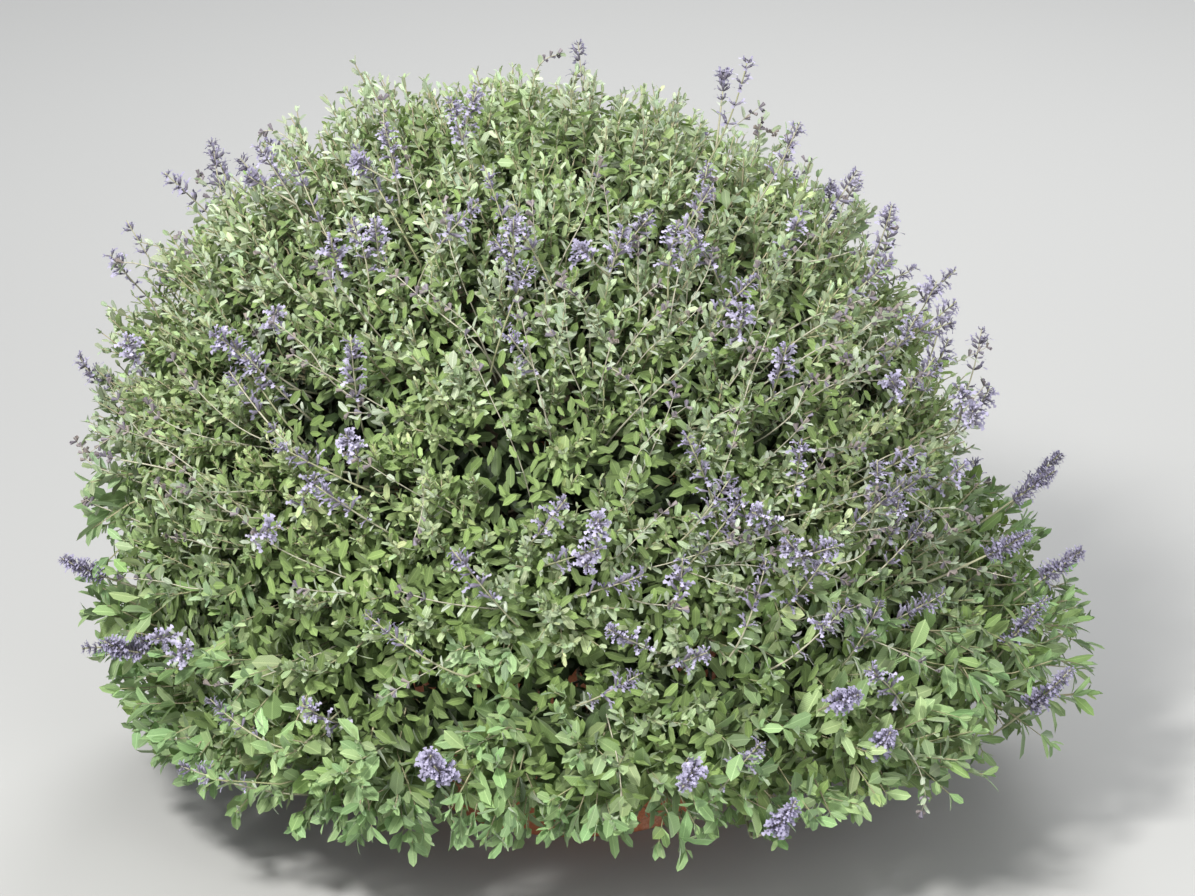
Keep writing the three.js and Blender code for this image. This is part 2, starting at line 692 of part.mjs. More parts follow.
// The first of several tries at a shoot whose leaves cross no stalk and no other leaf
function placeShoot(clump, index, number, heart, others, guards, random) {
  const { corners } = hearts[index];
  const share = SHOOT.spread * (number < corners.length ? 1 : SHOOT.middle);
  const depth = SHOOT.depths[number % SHOOT.depths.length];
  for (let attempt = 0; attempt < SHOOT.attempts; attempt += 1) {
    const angle = corners[number % corners.length] + between(random, -SHOOT.turn, SHOOT.turn);
    const inward = share * between(random, ...SHOOT.inward);
    const shoot = shootAt(index, angle, inward, depth, random);
    const size = SHOOT.sizes[Math.floor((attempt * SHOOT.sizes.length) / SHOOT.attempts)];
    const fitted = fittedLeaves(shoot, index, clump.leaf.map((span) => span * size), random);
    if (!fitted.every((leaf) => leaf.stays)) continue;
    const tip = shootTip(shoot, fitted);
    if (guards.some((guard) => !tip.intersect(guard).isEmpty())) continue;
    const leavesOnly = shootTip(
      { ...shoot, foot: shoot.centre.clone().addScaledVector(shoot.axis, -SHOOT.thickness) },
      fitted,
    );
    const crossing = others.reduce(
      (sum, other) => sum + tip.intersect(other).volume(), leavesOnly.intersect(heart).volume(),
    );
    if (crossing < SHOOT.crossing) return tip;
  }
  return null;
}

// A leafy clump: its heart and its shoot tips
function makeClump(clump, index, heart, guards) {
  const random = seededRandom(SEEDS.shoots + index);
  const middle = guards.reduce(
    (rest, guard) => (rest.intersect(guard).isEmpty() ? rest : rest.subtract(guard)),
    solidFrom(heart.geometry),
  );
  const tips = [];
  for (let i = 0; i < clump.shoots; i += 1) {
    const tip = placeShoot(clump, index, i, middle, tips, guards, random);
    if (tip) tips.push(tip);
  }
  return tips.reduce((sum, tip) => sum.add(tip), middle);
}

// A branch from a stem's fork to the underside of a clump's heart, over the pot's rim
function makeBranch(clump, heart, fork, extra) {
  const { heading } = clump;
  const end = heart.seat.clone().addScaledVector(heading, -CROWN.tipGap);
  const bend = fork.clone().lerp(end, 0.5);
  if (heading.z < RIM_CROSSING.steepest) {
    const flat = new THREE.Vector3(heading.x, heading.y, 0).normalize();
    bend.copy(flat).multiplyScalar(RIM_CROSSING.radius);
    bend.z = POT_HEIGHT + RIM_CROSSING.height + RIM_CROSSING.slope * Math.max(0, heading.z);
  }
  const axes = [bend.clone().sub(fork).normalize(), end.clone().sub(fork).normalize(), heading];
  const start = fork.clone().addScaledVector(axes[0], CROWN.start);
  const radii = [CROWN.branchRadius, (CROWN.branchRadius + CROWN.tipRadius) / 2, CROWN.tipRadius];
  let side = acrossFrom(axes[0])[0];
  return skin([start, bend, end].map((centre, ring) => {
    side = side.clone().addScaledVector(axes[ring], -side.dot(axes[ring])).normalize();
    const frame = [side, new THREE.Vector3().crossVectors(axes[ring], side)];
    return circleOf(CROWN.branchSides, centre, axes[ring], frame, radii[ring] + extra);
  }));
}

// Stems that leave the soil side by side, each with a knuckle where it forks
function makeCrown(hearts, extra) {
  const stems = Array.from({ length: CROWN.stems }, (_, i) => {
    const out = direction((i * 360) / CROWN.stems + CROWN.turn, 0);
    const at = (radius, rise) => out.clone().multiplyScalar(radius).setZ(SOIL.level + rise);
    return new THREE.QuadraticBezierCurve3(
      at(CROWN.footSpread, -CROWN.depth),
      at(CROWN.spread, CROWN.knee),
      at(CROWN.forkSpread, CROWN.forkRises[i % 2]),
    );
  });
  const forks = stems.map((curve) => curve.v2);
  const parts = stems.flatMap((curve) => {
    const knuckle = new THREE.IcosahedronGeometry(CROWN.knuckle + extra, 0);
    knuckle.translate(curve.v2.x, curve.v2.y, curve.v2.z);
    const { segments, sides, stemRadius, neckRadius } = CROWN;
    const stem = taperedTube(curve, segments, sides, stemRadius + extra, neckRadius + extra);
    return [stem, solidFrom(knuckle)];
  });
  clumps.forEach((clump, index) => {
    const nearness = forks.map((fork) =>
      fork.x * clump.heading.x + fork.y * clump.heading.y);
    const fork = forks[nearness.indexOf(Math.max(...nearness))];
    parts.push(makeBranch(clump, hearts[index], fork, extra));
  });
  return parts.reduce((sum, part) => sum.add(part));
}

// The whole plant
const hearts = clumps.map((_, index) => makeHeart(index));
const crown = makeCrown(hearts, 0);
const crownHole = makeCrown(hearts, CROWN.holeGap);

const sites = flowerHeadings().map((site, i) => {
  const { point, middle, normal } = seatOn(nearestClump(site.heading), site.heading);
  const base = point.clone().lerp(middle, STALK.footShare).addScaledVector(normal, CLEAR);
  const forked = !site.dense && i % SIDE_WAND.every === 0;
  return { ...site, base, normal, forked, seed: SEEDS.sideWands + i };
});
const sprays = sites.map((site) => sprayWith(site, 0));
const guards = sites.map((site) => sprayWith(site, SPRAY_GUARD));

const plant = new THREE.Group();
plant.add(meshFrom("pot", makePot(), COLOURS.clay));
plant.add(meshFrom("soil", makeSoil(crownHole), COLOURS.soil));
plant.add(meshFrom("woody_crown", crown, COLOURS.bark));

const twoDigits = (i) => String(i + 1).padStart(2, "0");
clumps.forEach((clump, index) => {
  const solid = makeClump(clump, index, hearts[index], guards);
  const look = clump.level === 0 ? COLOURS.skirtLeaf : COLOURS.domeLeaf;
  plant.add(meshFrom(`leafy_clump_${twoDigits(index)}`, solid, look));
});
sprays.forEach((spray, i) => {
  const kind = sites[i].dense ? "flower_spike" : "flower_spray";
  plant.add(meshFrom(`${kind}_${twoDigits(i)}`, spray, COLOURS.flower));
});

export default plant;
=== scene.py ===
"""The looks of a potted San Miguel mountain sage: thousands of real leaves, florets, twigs, soil and
a clay pot, set in the space that the CAD solids hold. Metres, +Z up."""

import math

import bpy
import numpy as np
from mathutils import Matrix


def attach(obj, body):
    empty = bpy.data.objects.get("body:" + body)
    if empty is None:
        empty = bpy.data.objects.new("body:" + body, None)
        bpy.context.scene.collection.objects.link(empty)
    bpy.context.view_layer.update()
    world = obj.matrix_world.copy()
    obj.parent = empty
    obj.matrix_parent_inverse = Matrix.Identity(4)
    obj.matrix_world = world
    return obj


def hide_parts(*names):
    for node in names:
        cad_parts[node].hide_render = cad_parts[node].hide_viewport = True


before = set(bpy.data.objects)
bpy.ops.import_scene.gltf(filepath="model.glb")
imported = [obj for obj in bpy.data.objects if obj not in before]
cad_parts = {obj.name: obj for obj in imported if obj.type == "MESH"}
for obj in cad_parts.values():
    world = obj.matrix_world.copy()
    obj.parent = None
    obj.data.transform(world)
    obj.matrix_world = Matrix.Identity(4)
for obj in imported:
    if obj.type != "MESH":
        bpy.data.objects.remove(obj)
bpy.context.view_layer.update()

SEED = 20
UP = np.array([0.0, 0.0, 1.0])

# The foliage's outline, the point it grows from and the clumps' directions, as in the CAD part
GROWTH_CENTRE = np.array([0.0, 0.0, 0.307])
DOME_CENTRE = np.array([-0.045, 0.0, 0.307])
DOME_RADII = np.array([0.450, 0.445, 0.450])
SKIRT_CENTRE = np.array([0.018, 0.0, 0.178])
SKIRT_RADII = (0.500, 0.505)
SKIRT_RISE = 0.190
SKIRT_DROP = 0.045
# (elevation, count, turn) of each ring of clumps, in degrees
CLUMP_RINGS = [(-15, 9, 0), (13, 8, 20), (41, 5, 5), (67, 3, 40), (90, 1, 0)]

# Pot and soil, as in the CAD part
POT_HEIGHT = 0.300
POT_MOUTH_RADIUS = 0.205
POT_BASE_RADIUS = 0.150
POT_WALL = 0.014
POT_FLOOR = 0.018
RIM_HEIGHT = 0.052
RIM_PROUD = 0.009
DRAIN_HOLES = 4
DRAIN_RADIUS = 0.009
DRAIN_CIRCLE = 0.085
SOIL_LEVEL = 0.270
SOIL_MOUND = 0.010

# The camera looks down by this angle, and one pixel of the photograph is one millimetre
VIEW_ELEVATION = 20
PHOTO_AXIS = (575, 794)

# Flowers beside those of the CAD part, at their pixels in the photograph: loose sprays, then spikes
FRONT_FLOWERS = [
    (475, 115), (370, 170), (490, 195), (520, 240), (530, 290), (350, 262), (390, 245), (640, 235),
    (700, 210), (690, 250), (790, 230), (735, 295), (865, 230), (255, 350), (290, 320), (150, 350),
    (360, 350), (330, 480), (295, 525), (465, 550), (590, 545), (387, 610), (628, 665), (725, 510),
    (770, 540), (800, 560), (860, 470), (900, 480), (900, 600), (850, 675), (745, 740), (920, 340),
    (905, 375), (935, 400), (180, 630), (210, 640), (243, 690), (330, 690), (230, 750), (700, 190),
    (340, 490), (312, 185), (880, 505), (940, 470), (820, 600), (690, 640), (300, 450), (730, 320),
    (558, 503), (631, 571), (668, 558), (727, 493), (745, 512), (686, 441), (784, 453), (770, 364),
    (752, 562), (608, 620), (519, 352), (801, 615), (915, 300), (890, 330), (930, 355), (880, 385),
    (945, 420), (870, 490), (905, 520), (850, 600), (905, 590), (715, 480), (480, 230), (505, 260),
    (265, 365), (255, 385),
]
FRONT_SPIKES = [(443, 750), (675, 772), (775, 785), (860, 725), (1020, 668), (118, 640), (1000, 610)]
BACK_FLOWERS = 50

# Lumps on the outline: pixel in the photograph, width in degrees and how far each stands out
LUMPS = [
    (115, 275, 16, 0.038), (225, 195, 14, 0.026), (350, 85, 14, 0.030), (470, 60, 10, 0.022),
    (955, 330, 14, 0.026), (960, 440, 12, 0.020), (860, 215, 10, 0.012),
    (1050, 690, 16, 0.040), (930, 765, 14, 0.030), (240, 770, 16, 0.020), (115, 640, 12, 0.016),
    (352, 398, 4, -0.055), (600, 398, 3, -0.040), (540, 445, 3.5, -0.035), (700, 455, 3, -0.035),
]

# How many of each small thing there are
SHOOTS = 3240
FRINGE_SHOOTS = 230
BUNCHES = 340
HUBS_PER_CLUMP = 9
PAIRS_ON_A_SHOOT = 8
INNER_LEAVES = 19500
LOW_INNER_LEAVES = 10000
RIM_INNER_LEAVES = 5000
LONG_STALKS = 130
WOODY_STEMS = 6
SOIL_CRUMBS = 900

# Lengths of a floret and girths of a flower stalk
LOW_FLORET = 0.0140
HIGH_FLORET = 0.0130
BUD = 0.0125
SPIKE_FLORET = 0.0115
SPRAY_STALK = 0.0014
SPIKE_STALK = 0.0017
SPIKE_WHORLS = 12

# The skirt's shoots hang down by up to this much at its lower edge
FRINGE_HANG = 0.034

# The gap between the soil and the pot's wall
SOIL_GAP = 0.0006


# Small vector helpers on arrays of points

def unit(v):
    return v / np.maximum(np.linalg.norm(v, axis=-1, keepdims=True), 1e-12)


def smooth_step(x, low, high):
    t = np.clip((x - low) / (high - low), 0, 1)
    return t * t * (3 - 2 * t)


def heading_of(azimuth, elevation):
    a, e = np.radians(azimuth), np.radians(elevation)
    return np.stack([np.cos(e) * np.cos(a), np.cos(e) * np.sin(a), np.sin(e) * np.ones_like(a)], -1)


def spin(v, axis, angle):
    """v turned about a unit axis that is square to it."""
    return v * np.cos(angle)[..., None] + np.cross(axis, v) * np.sin(angle)[..., None]


def across(axis):
    """A unit vector square to each axis."""
    helper = np.where(np.abs(axis[..., 2:3]) < 0.9, UP, np.array([1.0, 0.0, 0.0]))
    return unit(np.cross(helper, axis))


def swell(directions, scale, seed):
    """A smooth random number from -1 to 1 for each direction."""
    rng = np.random.default_rng(seed)
    total = np.zeros(len(directions))
    for _ in range(6):
        wave = rng.normal(size=3) * scale
        total += np.sin(directions @ wave + rng.uniform(0, 2 * np.pi))
    return total / 3


# The foliage's outline

def in_foliage(p):
    dome = (((p - DOME_CENTRE) / DOME_RADII) ** 2).sum(-1) <= 1
    height = p[..., 2] - SKIRT_CENTRE[2]
    upright = np.where(height > 0, (height / SKIRT_RISE) ** 2, (height / SKIRT_DROP) ** 4)
    skirt = ((p[..., 0] - SKIRT_CENTRE[0]) / SKIRT_RADII[0]) ** 2
    skirt = skirt + ((p[..., 1] - SKIRT_CENTRE[1]) / SKIRT_RADII[1]) ** 2 + upright
    return dome | (skirt <= 1)


def reach(headings):
    """How far the foliage reaches from the growth centre in each direction."""
    found = np.zeros(len(headings))
    for distance in np.arange(0.70, 0.1, -0.003):
        inside = in_foliage(GROWTH_CENTRE + headings * distance)
        found = np.where((found == 0) & inside, distance, found)
    return found


def outline_normals(headings):
    """The outline's outward direction at each heading, from three nearby points."""
    side = across(headings)
    other = np.cross(headings, side)
    step = 0.03
    near = [unit(headings + side * step), unit(headings + other * step), headings]
    a, b, c = [GROWTH_CENTRE + h * reach(h)[:, None] for h in near]
    return unit(np.cross(a - c, b - c))


def bulges(headings):
    """How far the bush stands out beyond the plain outline, in the lumps that the photograph shows."""
    total = np.zeros(len(headings))
    centres = seen_at([(x, y) for x, y, _, _ in LUMPS])
    for centre, (_, _, width, rise) in zip(centres, LUMPS):
        apart = np.degrees(np.arccos(np.clip(headings @ centre, -1, 1)))
        lump = rise * np.exp(-(apart / width) ** 2)
        total = np.maximum(total, lump) if rise > 0 else total + lump
    return total


def clump_headings():
    rings = []
    for elevation, count, turn in CLUMP_RINGS:
        azimuths = turn + np.arange(count) * 360 / count - 90
        rings.append(heading_of(azimuths.astype(float), elevation))
    return np.concatenate(rings)


CLUMPS = clump_headings()


def clump_of(points):
    return np.argmax(unit(points - GROWTH_CENTRE) @ CLUMPS.T, axis=1)


def seen_at(pixels):
    """The headings of places on the outline that the photograph shows at these pixels."""
    e = math.radians(VIEW_ELEVATION)
    headings = []
    for px, py in pixels:
        left = (px - PHOTO_AXIS[0]) / 1000
        rise = (PHOTO_AXIS[1] - py) / 1000
        depths = np.arange(-0.7, 0.4, 0.002)
        line = np.stack([
            np.full_like(depths, left), depths, (rise - depths * math.sin(e)) / math.cos(e),
        ], -1)
        inside = in_foliage(line)
        if inside.any():
            point = line[np.argmax(inside)]
        else:
            # past the outline's edge: the nearest place on it
            gap = np.abs(np.linalg.norm((line - DOME_CENTRE) / DOME_RADII, axis=1) - 1)
            point = line[np.argmin(gap)]
        headings.append(unit(point - GROWTH_CENTRE))
    return np.array(headings)


# Meshes from arrays

class Pile:
    """Points and triangles with a tint and leaf coordinates for each point, one material each."""

    def __init__(self):
        self.parts = []

    def add(self, points, triangles, tint, local, material):
        """Copies of one small mesh. points: (copies, points, 3); tint and local spread to that shape."""
        copies, count, _ = points.shape
        faces = triangles + (np.arange(copies) * count)[:, None, None]
        tint = np.broadcast_to(tint, points.shape)
        local = np.broadcast_to(local, points.shape)
        flat = [values.reshape(-1, 3) for values in (points, faces, tint, local)]
        self.parts.append((*flat, material))

    def build(self, name, materials):
        offset = 0
        points, triangles, tints, locals_, indices = [], [], [], [], []
        for p, t, tint, local, material in self.parts:
            points.append(p)
            triangles.append(t + offset)
            tints.append(tint)
            locals_.append(local)
            indices.append(np.full(len(t), material))
            offset += len(p)
        points, triangles = np.concatenate(points), np.concatenate(triangles)
        mesh = bpy.data.meshes.new(name)
        mesh.vertices.add(len(points))
        mesh.vertices.foreach_set("co", points.astype(np.float32).ravel())
        mesh.loops.add(len(triangles) * 3)
        mesh.loops.foreach_set("vertex_index", triangles.astype(np.int32).ravel())
        mesh.polygons.add(len(triangles))
        mesh.polygons.foreach_set("loop_start", np.arange(0, len(triangles) * 3, 3, dtype=np.int32))
        for material in materials:
            mesh.materials.append(material)
        mesh.polygons.foreach_set("material_index", np.concatenate(indices).astype(np.int32))
        mesh.update(calc_edges=True)
        mesh.polygons.foreach_set("use_smooth", np.ones(len(triangles), bool))
        colour = np.concatenate([np.concatenate(tints), np.ones((len(points), 1))], 1)
        mesh.attributes.new("tint", "FLOAT_COLOR", "POINT").data.foreach_set(
            "color", colour.astype(np.float32).ravel())
        mesh.attributes.new("local", "FLOAT_VECTOR", "POINT").data.foreach_set(
            "vector", np.concatenate(locals_).astype(np.float32).ravel())
        piece = bpy.data.objects.new(name, mesh)
        bpy.context.scene.collection.objects.link(piece)
        return piece


def place(piece, slot, *nodes):
    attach(piece, "root")
    if nodes:
        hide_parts(*nodes)


# Leaves: a sheet of rows across a midrib

def leaf_template(rows):
    """Points (along, across) and triangles of a leaf with (along, half width) rows between its ends."""
    points, triangles = [(0.0, 0.0)], []
    for along, half in rows:
        points += [(along, -half), (along, 0.0), (along, half)]
    points.append((1.0, 0.0))
    tip = len(points) - 1
    triangles += [(0, 1, 2), (0, 2, 3)]
    for row in range(len(rows) - 1):
        a = 1 + 3 * row
        for k in range(2):
            triangles += [(a + k, a + k + 3, a + k + 1), (a + k + 1, a + k + 3, a + k + 4)]
    last = tip - 3
    triangles += [(last, tip, last + 1), (last + 1, tip, last + 2)]
    return np.array(points), np.array(triangles)


def cupped_leaf():
    """A small blunt leaf: a fan of triangles round a point on its midrib."""
    rim = [(0.0, 0.0), (0.32, 0.86), (0.80, 0.84), (1.0, 0.0), (0.80, -0.84), (0.32, -0.86)]
    triangles = [(6, (k + 1) % 6, k) for k in range(6)]
    return np.array(rim + [(0.55, 0.0)]), np.array(triangles)


def flat_leaf():
    rim = [(0.0, 0.0), (0.32, 0.86), (0.80, 0.80), (1.0, 0.0), (0.80, -0.80), (0.32, -0.86)]
    return np.array(rim), np.array([(0, 2, 1), (0, 3, 2), (0, 4, 3), (0, 5, 4)])


SMALL_LEAF = cupped_leaf()
INNER_LEAF = flat_leaf()
BROAD_LEAF = leaf_template([(0.09, 0.22), (0.42, 0.98), (0.82, 0.80)])


def lay_leaves(pile, template, origins, along, normal, length, width, fold, droop, tint, material, rng):
    shape, triangles = template
    n, k = len(origins), len(shape)
    normal = unit(normal - along * (normal * along).sum(-1, keepdims=True))
    side = np.cross(normal, along)
    u, v = shape[:, 0], shape[:, 1]
    wave = 0.10 * np.sin(9 * u[None] + rng.uniform(0, 6.3, (n, 1))) * np.sign(v)[None] * np.abs(v)[None]
    lift = (fold[:, None] * np.abs(v)[None] + wave) * width[:, None] / 2
    lift = lift - droop[:, None] * (u ** 2)[None] * length[:, None]
    points = (
        origins[:, None]
        + along[:, None] * (u[None, :, None] * length[:, None, None])
        + side[:, None] * (v[None, :, None] * width[:, None, None] / 2)
        + normal[:, None] * lift[:, :, None]
    )
    local = np.empty((n, k, 3))
    local[:, :, 0] = u
    local[:, :, 1] = v
    local[:, :, 2] = rng.uniform(0, 1, (n, 1))
    pile.add(points, triangles, tint[:, None], local, material)


# Stems: tubes along lists of points, all with the same number of points

def lay_tubes(pile, lines, radii, sides, tint, material):
    """lines: (tubes, stops, 3) points; radii: (tubes, stops)."""
    n, stops, _ = lines.shape
    tangent = unit(np.gradient(lines, axis=1))
    side = across(tangent[:, 0])
    frames = []
    for i in range(stops):
        side = unit(side - tangent[:, i] * (side * tangent[:, i]).sum(-1, keepdims=True))
        frames.append(side)
    side = np.stack(frames, 1)
    other = np.cross(tangent, side)
    angles = np.arange(sides) * 2 * np.pi / sides
    ring = side[:, :, None] * np.cos(angles)[:, None] + other[:, :, None] * np.sin(angles)[:, None]
    points = lines[:, :, None] + ring * radii[:, :, None, None]
    a = np.arange(stops - 1)[:, None] * sides + np.arange(sides)[None]
    b = np.arange(stops - 1)[:, None] * sides + (np.arange(sides)[None] + 1) % sides
    quads = np.stack([a, b, b + sides, a, b + sides, a + sides], -1).reshape(-1, 3)
    last = (stops - 1) * sides
    fan = np.array([[last, last + i, last + i + 1] for i in range(1, sides - 1)])
    cap = np.concatenate([quads, fan])
    local = np.zeros((n, stops, sides, 3))
    local[..., 0] = np.linspace(0, 1, stops)[:, None]
    local[..., 1] = np.linspace(-1, 1, sides)
    count = stops * sides
    pile.add(points.reshape(n, count, 3), cap, tint[:, None], local.reshape(n, count, 3), material)


def bezier(a, b, c, stops):
    t = np.linspace(0, 1, stops)[None, :, None]
    return a[:, None] * (1 - t) ** 2 + 2 * b[:, None] * t * (1 - t) + c[:, None] * t ** 2


# Colours, linear
DOME_GREEN = np.array([0.240, 0.308, 0.190])
GREY_GREEN = np.array([0.350, 0.405, 0.315])
YELLOW_GREEN = np.array([0.320, 0.395, 0.185])
SKIRT_GREEN = np.array([0.165, 0.262, 0.112])
# Painted shade: the next two greens darken leaves deep in the bush and on its shaded side.
HALF_SHADE_GREEN = np.array([0.160, 0.240, 0.070])
PAINTED_SHADE_GREEN = np.array([0.036, 0.070, 0.018])
TWIG_TAN = np.array([0.400, 0.340, 0.240])
STALK_TAN = np.array([0.450, 0.440, 0.345])
SHOOT_GREEN = np.array([0.290, 0.310, 0.160])
PETAL_LAVENDER = np.array([0.225, 0.212, 0.315])
PETAL_PALE = np.array([0.440, 0.425, 0.520])
CALYX_PURPLE = np.array([0.190, 0.175, 0.215])
SPENT_TAN = np.array([0.300, 0.260, 0.215])


def mixed(a, b, share):
    return a * (1 - share[:, None]) + b * share[:, None]


def leaf_tints(points, depth, broadness, rng):
    """A green for each leaf: greyer at the top left, partly painted light; yellower in patches; deeper in the
    skirt; darker with painted shade deep in the bush and on its lower right side.
    """
    headings = unit(points - GROWTH_CENTRE)
    base = mixed(np.tile(DOME_GREEN, (len(points), 1)), SKIRT_GREEN, broadness)
    # Paler grey towards the top left: the grey of hairy sage leaves is real, but putting more of it on the
    # upper left, where the key light falls, is painted light.
    grey = smooth_step(points[:, 2] - 0.4 * points[:, 0], 0.45, 0.85) * 0.75
    grey = np.clip(grey + 0.25 * swell(headings, 9, 3) * (1 - broadness), 0, 1)
    yellow = smooth_step(swell(headings, 7, 4) + rng.normal(0, 0.25, len(points)), 0.15, 1.0)
    yellow = yellow * 0.8 * (1 - 0.8 * grey) * (1 - 0.65 * broadness) + 0.25 * smooth_step(depth, 0.01, 0.04)
    colour = mixed(base, GREY_GREEN, grey)
    colour = mixed(colour, YELLOW_GREEN, np.clip(yellow, 0, 1))
    # Painted shade on the lower right side of the bush.
    shaded_side = smooth_step(points[:, 0], 0.30, 0.42) * smooth_step(0.42 - points[:, 2], 0.0, 0.1)
    colour = mixed(colour, PAINTED_SHADE_GREEN, 0.35 * shaded_side)
    # Painted shade: the deeper a leaf sits under the outline, the darker and more saturated its green.
    uneven_depth = depth + rng.normal(0, 0.012, len(points))
    colour = mixed(colour, HALF_SHADE_GREEN, 0.80 * smooth_step(uneven_depth, 0.018, 0.055))
    colour = mixed(colour, PAINTED_SHADE_GREEN, 0.85 * smooth_step(depth, 0.045, 0.11))
    return colour * rng.uniform(0.66, 1.30, (len(points), 1)) * rng.uniform(0.94, 1.06, (len(points), 3))


# Shoots: leafy stem ends all over the outline

def shoot_sites(count, rng):
    """Headings spread evenly over the outline by area, and closer where the leaves are small."""
    n = 60000
    i = np.arange(n) + 0.5
    z = 1 - 2 * i / n
    azimuth = np.degrees(np.pi * (1 + 5 ** 0.5) * i)
    headings = heading_of(azimuth, np.degrees(np.arcsin(z)))
    headings = headings[z > math.sin(math.radians(-27))]
    far = reach(headings)
    normals = outline_normals(headings)
    slant = np.clip((normals * headings).sum(-1), 0.25, 1)
    broad = broadness_at(GROWTH_CENTRE + headings * far[:, None])
    weight = far ** 2 / slant * (1 - 0.64 * broad)
    total = np.cumsum(weight)
    picks = np.searchsorted(total, (np.arange(count) + 0.5) * total[-1] / count)
    jitter = rng.normal(0, 0.012, (len(picks), 3))
    return unit(headings[picks] + jitter)


def fringe_sites(rng):
    """Headings of the shoots that hang along the skirt's lower edge."""
    azimuth = (np.arange(FRINGE_SHOOTS) + rng.uniform(-0.5, 0.5, FRINGE_SHOOTS)) * 360 / FRINGE_SHOOTS
    return heading_of(azimuth, rng.uniform(-22.5, -17.5, FRINGE_SHOOTS))


def broadness_at(points):
    """0 where the leaves are small, as on the dome, to 1 where they are broad, as on the skirt."""
    height = points[:, 2] + 0.05 * np.sin(points[:, 0] * 17) + 0.03 * np.sin(points[:, 1] * 23)
    low = smooth_step(-height, -0.36, -0.24)
    right = smooth_step(points[:, 0], 0.36, 0.44) * smooth_step(-height, -0.42, -0.34)
    return np.maximum(low, right)


def hubs_of_branches():
    """Points inside the foliage from which shoots spring, with the clump that each is in."""
    hubs, owners = [], []
    for index, heading in enumerate(CLUMPS):
        side = across(heading[None])[0]
        other = np.cross(heading, side)
        for k in range(HUBS_PER_CLUMP):
            angle = k * 2.4
            spread = 0.36 * math.sqrt((k + 0.5) / HUBS_PER_CLUMP)
            toward = unit(heading + (side * math.cos(angle) + other * math.sin(angle)) * spread)
            far = reach(toward[None])[0]
            hubs.append(GROWTH_CENTRE + toward * far * 0.62 + UP * 0.012)
            owners.append(index)
    return np.array(hubs), np.array(owners)


def shoot_depths(headings, broad, fringe, rng):
    """How far under the outline each shoot ends, and which way it leans from its bunch's middle."""
    n = len(headings)
    bunches = shoot_sites(BUNCHES, rng)
    likeness = headings @ bunches.T
    order = np.argsort(-likeness, axis=1)[:, :2]
    apart = np.arccos(np.clip(np.take_along_axis(likeness, order, 1), -1, 1))
    valley = 1 - smooth_step(apart[:, 1] - apart[:, 0], 0.0, 0.085)
    depth = rng.uniform(-0.010, 0.008, n) + (0.030 - 0.012 * broad) * valley
    depth = depth + 0.008 * (1 + swell(headings, 8, 8)) - 0.010 * broad - bulges(headings)
    depth = np.where(rng.uniform(size=n) < 0.16, depth + rng.uniform(0.02, 0.06, n), depth)
    stray_out = (rng.uniform(size=n) < 0.05) & (broad < 0.5)
    depth = np.where(stray_out, depth - rng.uniform(0.01, 0.028, n), depth)
    depth = np.where(fringe, rng.uniform(-0.012, 0.02, n), depth)
    return depth, headings - bunches[order[:, 0]]


def grow_shoots(piles, hubs, rng):
    headings = np.concatenate([shoot_sites(SHOOTS, rng), fringe_sites(rng)])
    n = len(headings)
    far = reach(headings)
    surface = GROWTH_CENTRE + headings * far[:, None]
    broad = broadness_at(surface)
    fringe = np.arange(n) >= n - FRINGE_SHOOTS
    depth, aside = shoot_depths(headings, broad, fringe, rng)
    tips = GROWTH_CENTRE + headings * (far - depth)[:, None]
    tips[:, 2] -= np.where(fringe, rng.uniform(0.0, FRINGE_HANG, n), 0)
    normals = outline_normals(headings)
    stray = unit(rng.normal(size=(n, 3)))
    tip_way = unit(headings * 0.55 + normals * 0.25 + UP * (0.42 - 0.34 * broad)[:, None]
                   + aside * 4.5 + stray * 0.40)
    base_way = unit(headings + normals * 0.3 + stray[::-1] * 0.25)
    length = (0.085 + 0.03 * broad) * rng.uniform(0.8, 1.25, n)
    bases = tips - (tip_way + base_way) * (length * 0.5)[:, None]
    bends = bases + base_way * (length * 0.5)[:, None]
    owner = clump_of(tips)
    near = np.argmin(((bases[:, None] - hubs[None]) ** 2).sum(-1), axis=1)
    grow_stems(piles, owner, hubs[near], bases, bends, tips, broad, rng)
    grow_leaves(piles, owner, bases, bends, tips, length, broad, depth, rng)


def grow_stems(piles, owner, hubs, bases, bends, tips, broad, rng):
    outward = unit(bases - GROWTH_CENTRE)
    gap = np.linalg.norm(bases - hubs, axis=1)[:, None]
    lower = bezier(hubs, hubs + outward * gap * 0.55, bases, 3)[:, :2]
    upper = bezier(bases, bends, tips, 3)
    lines = np.concatenate([lower, upper], 1)
    radii = np.linspace(0.0017, 0.0006, lines.shape[1])[None] * rng.uniform(0.8, 1.2, (len(lines), 1))
    tint = mixed(np.tile(TWIG_TAN, (len(lines), 1)), SHOOT_GREEN, rng.uniform(0.2, 1, len(lines)))
    tint = tint * rng.uniform(0.75, 1.2, (len(lines), 1))
    for index in range(len(CLUMPS)):
        mine = owner == index
        lay_tubes(piles[index], lines[mine], radii[mine], 3, tint[mine], 1)


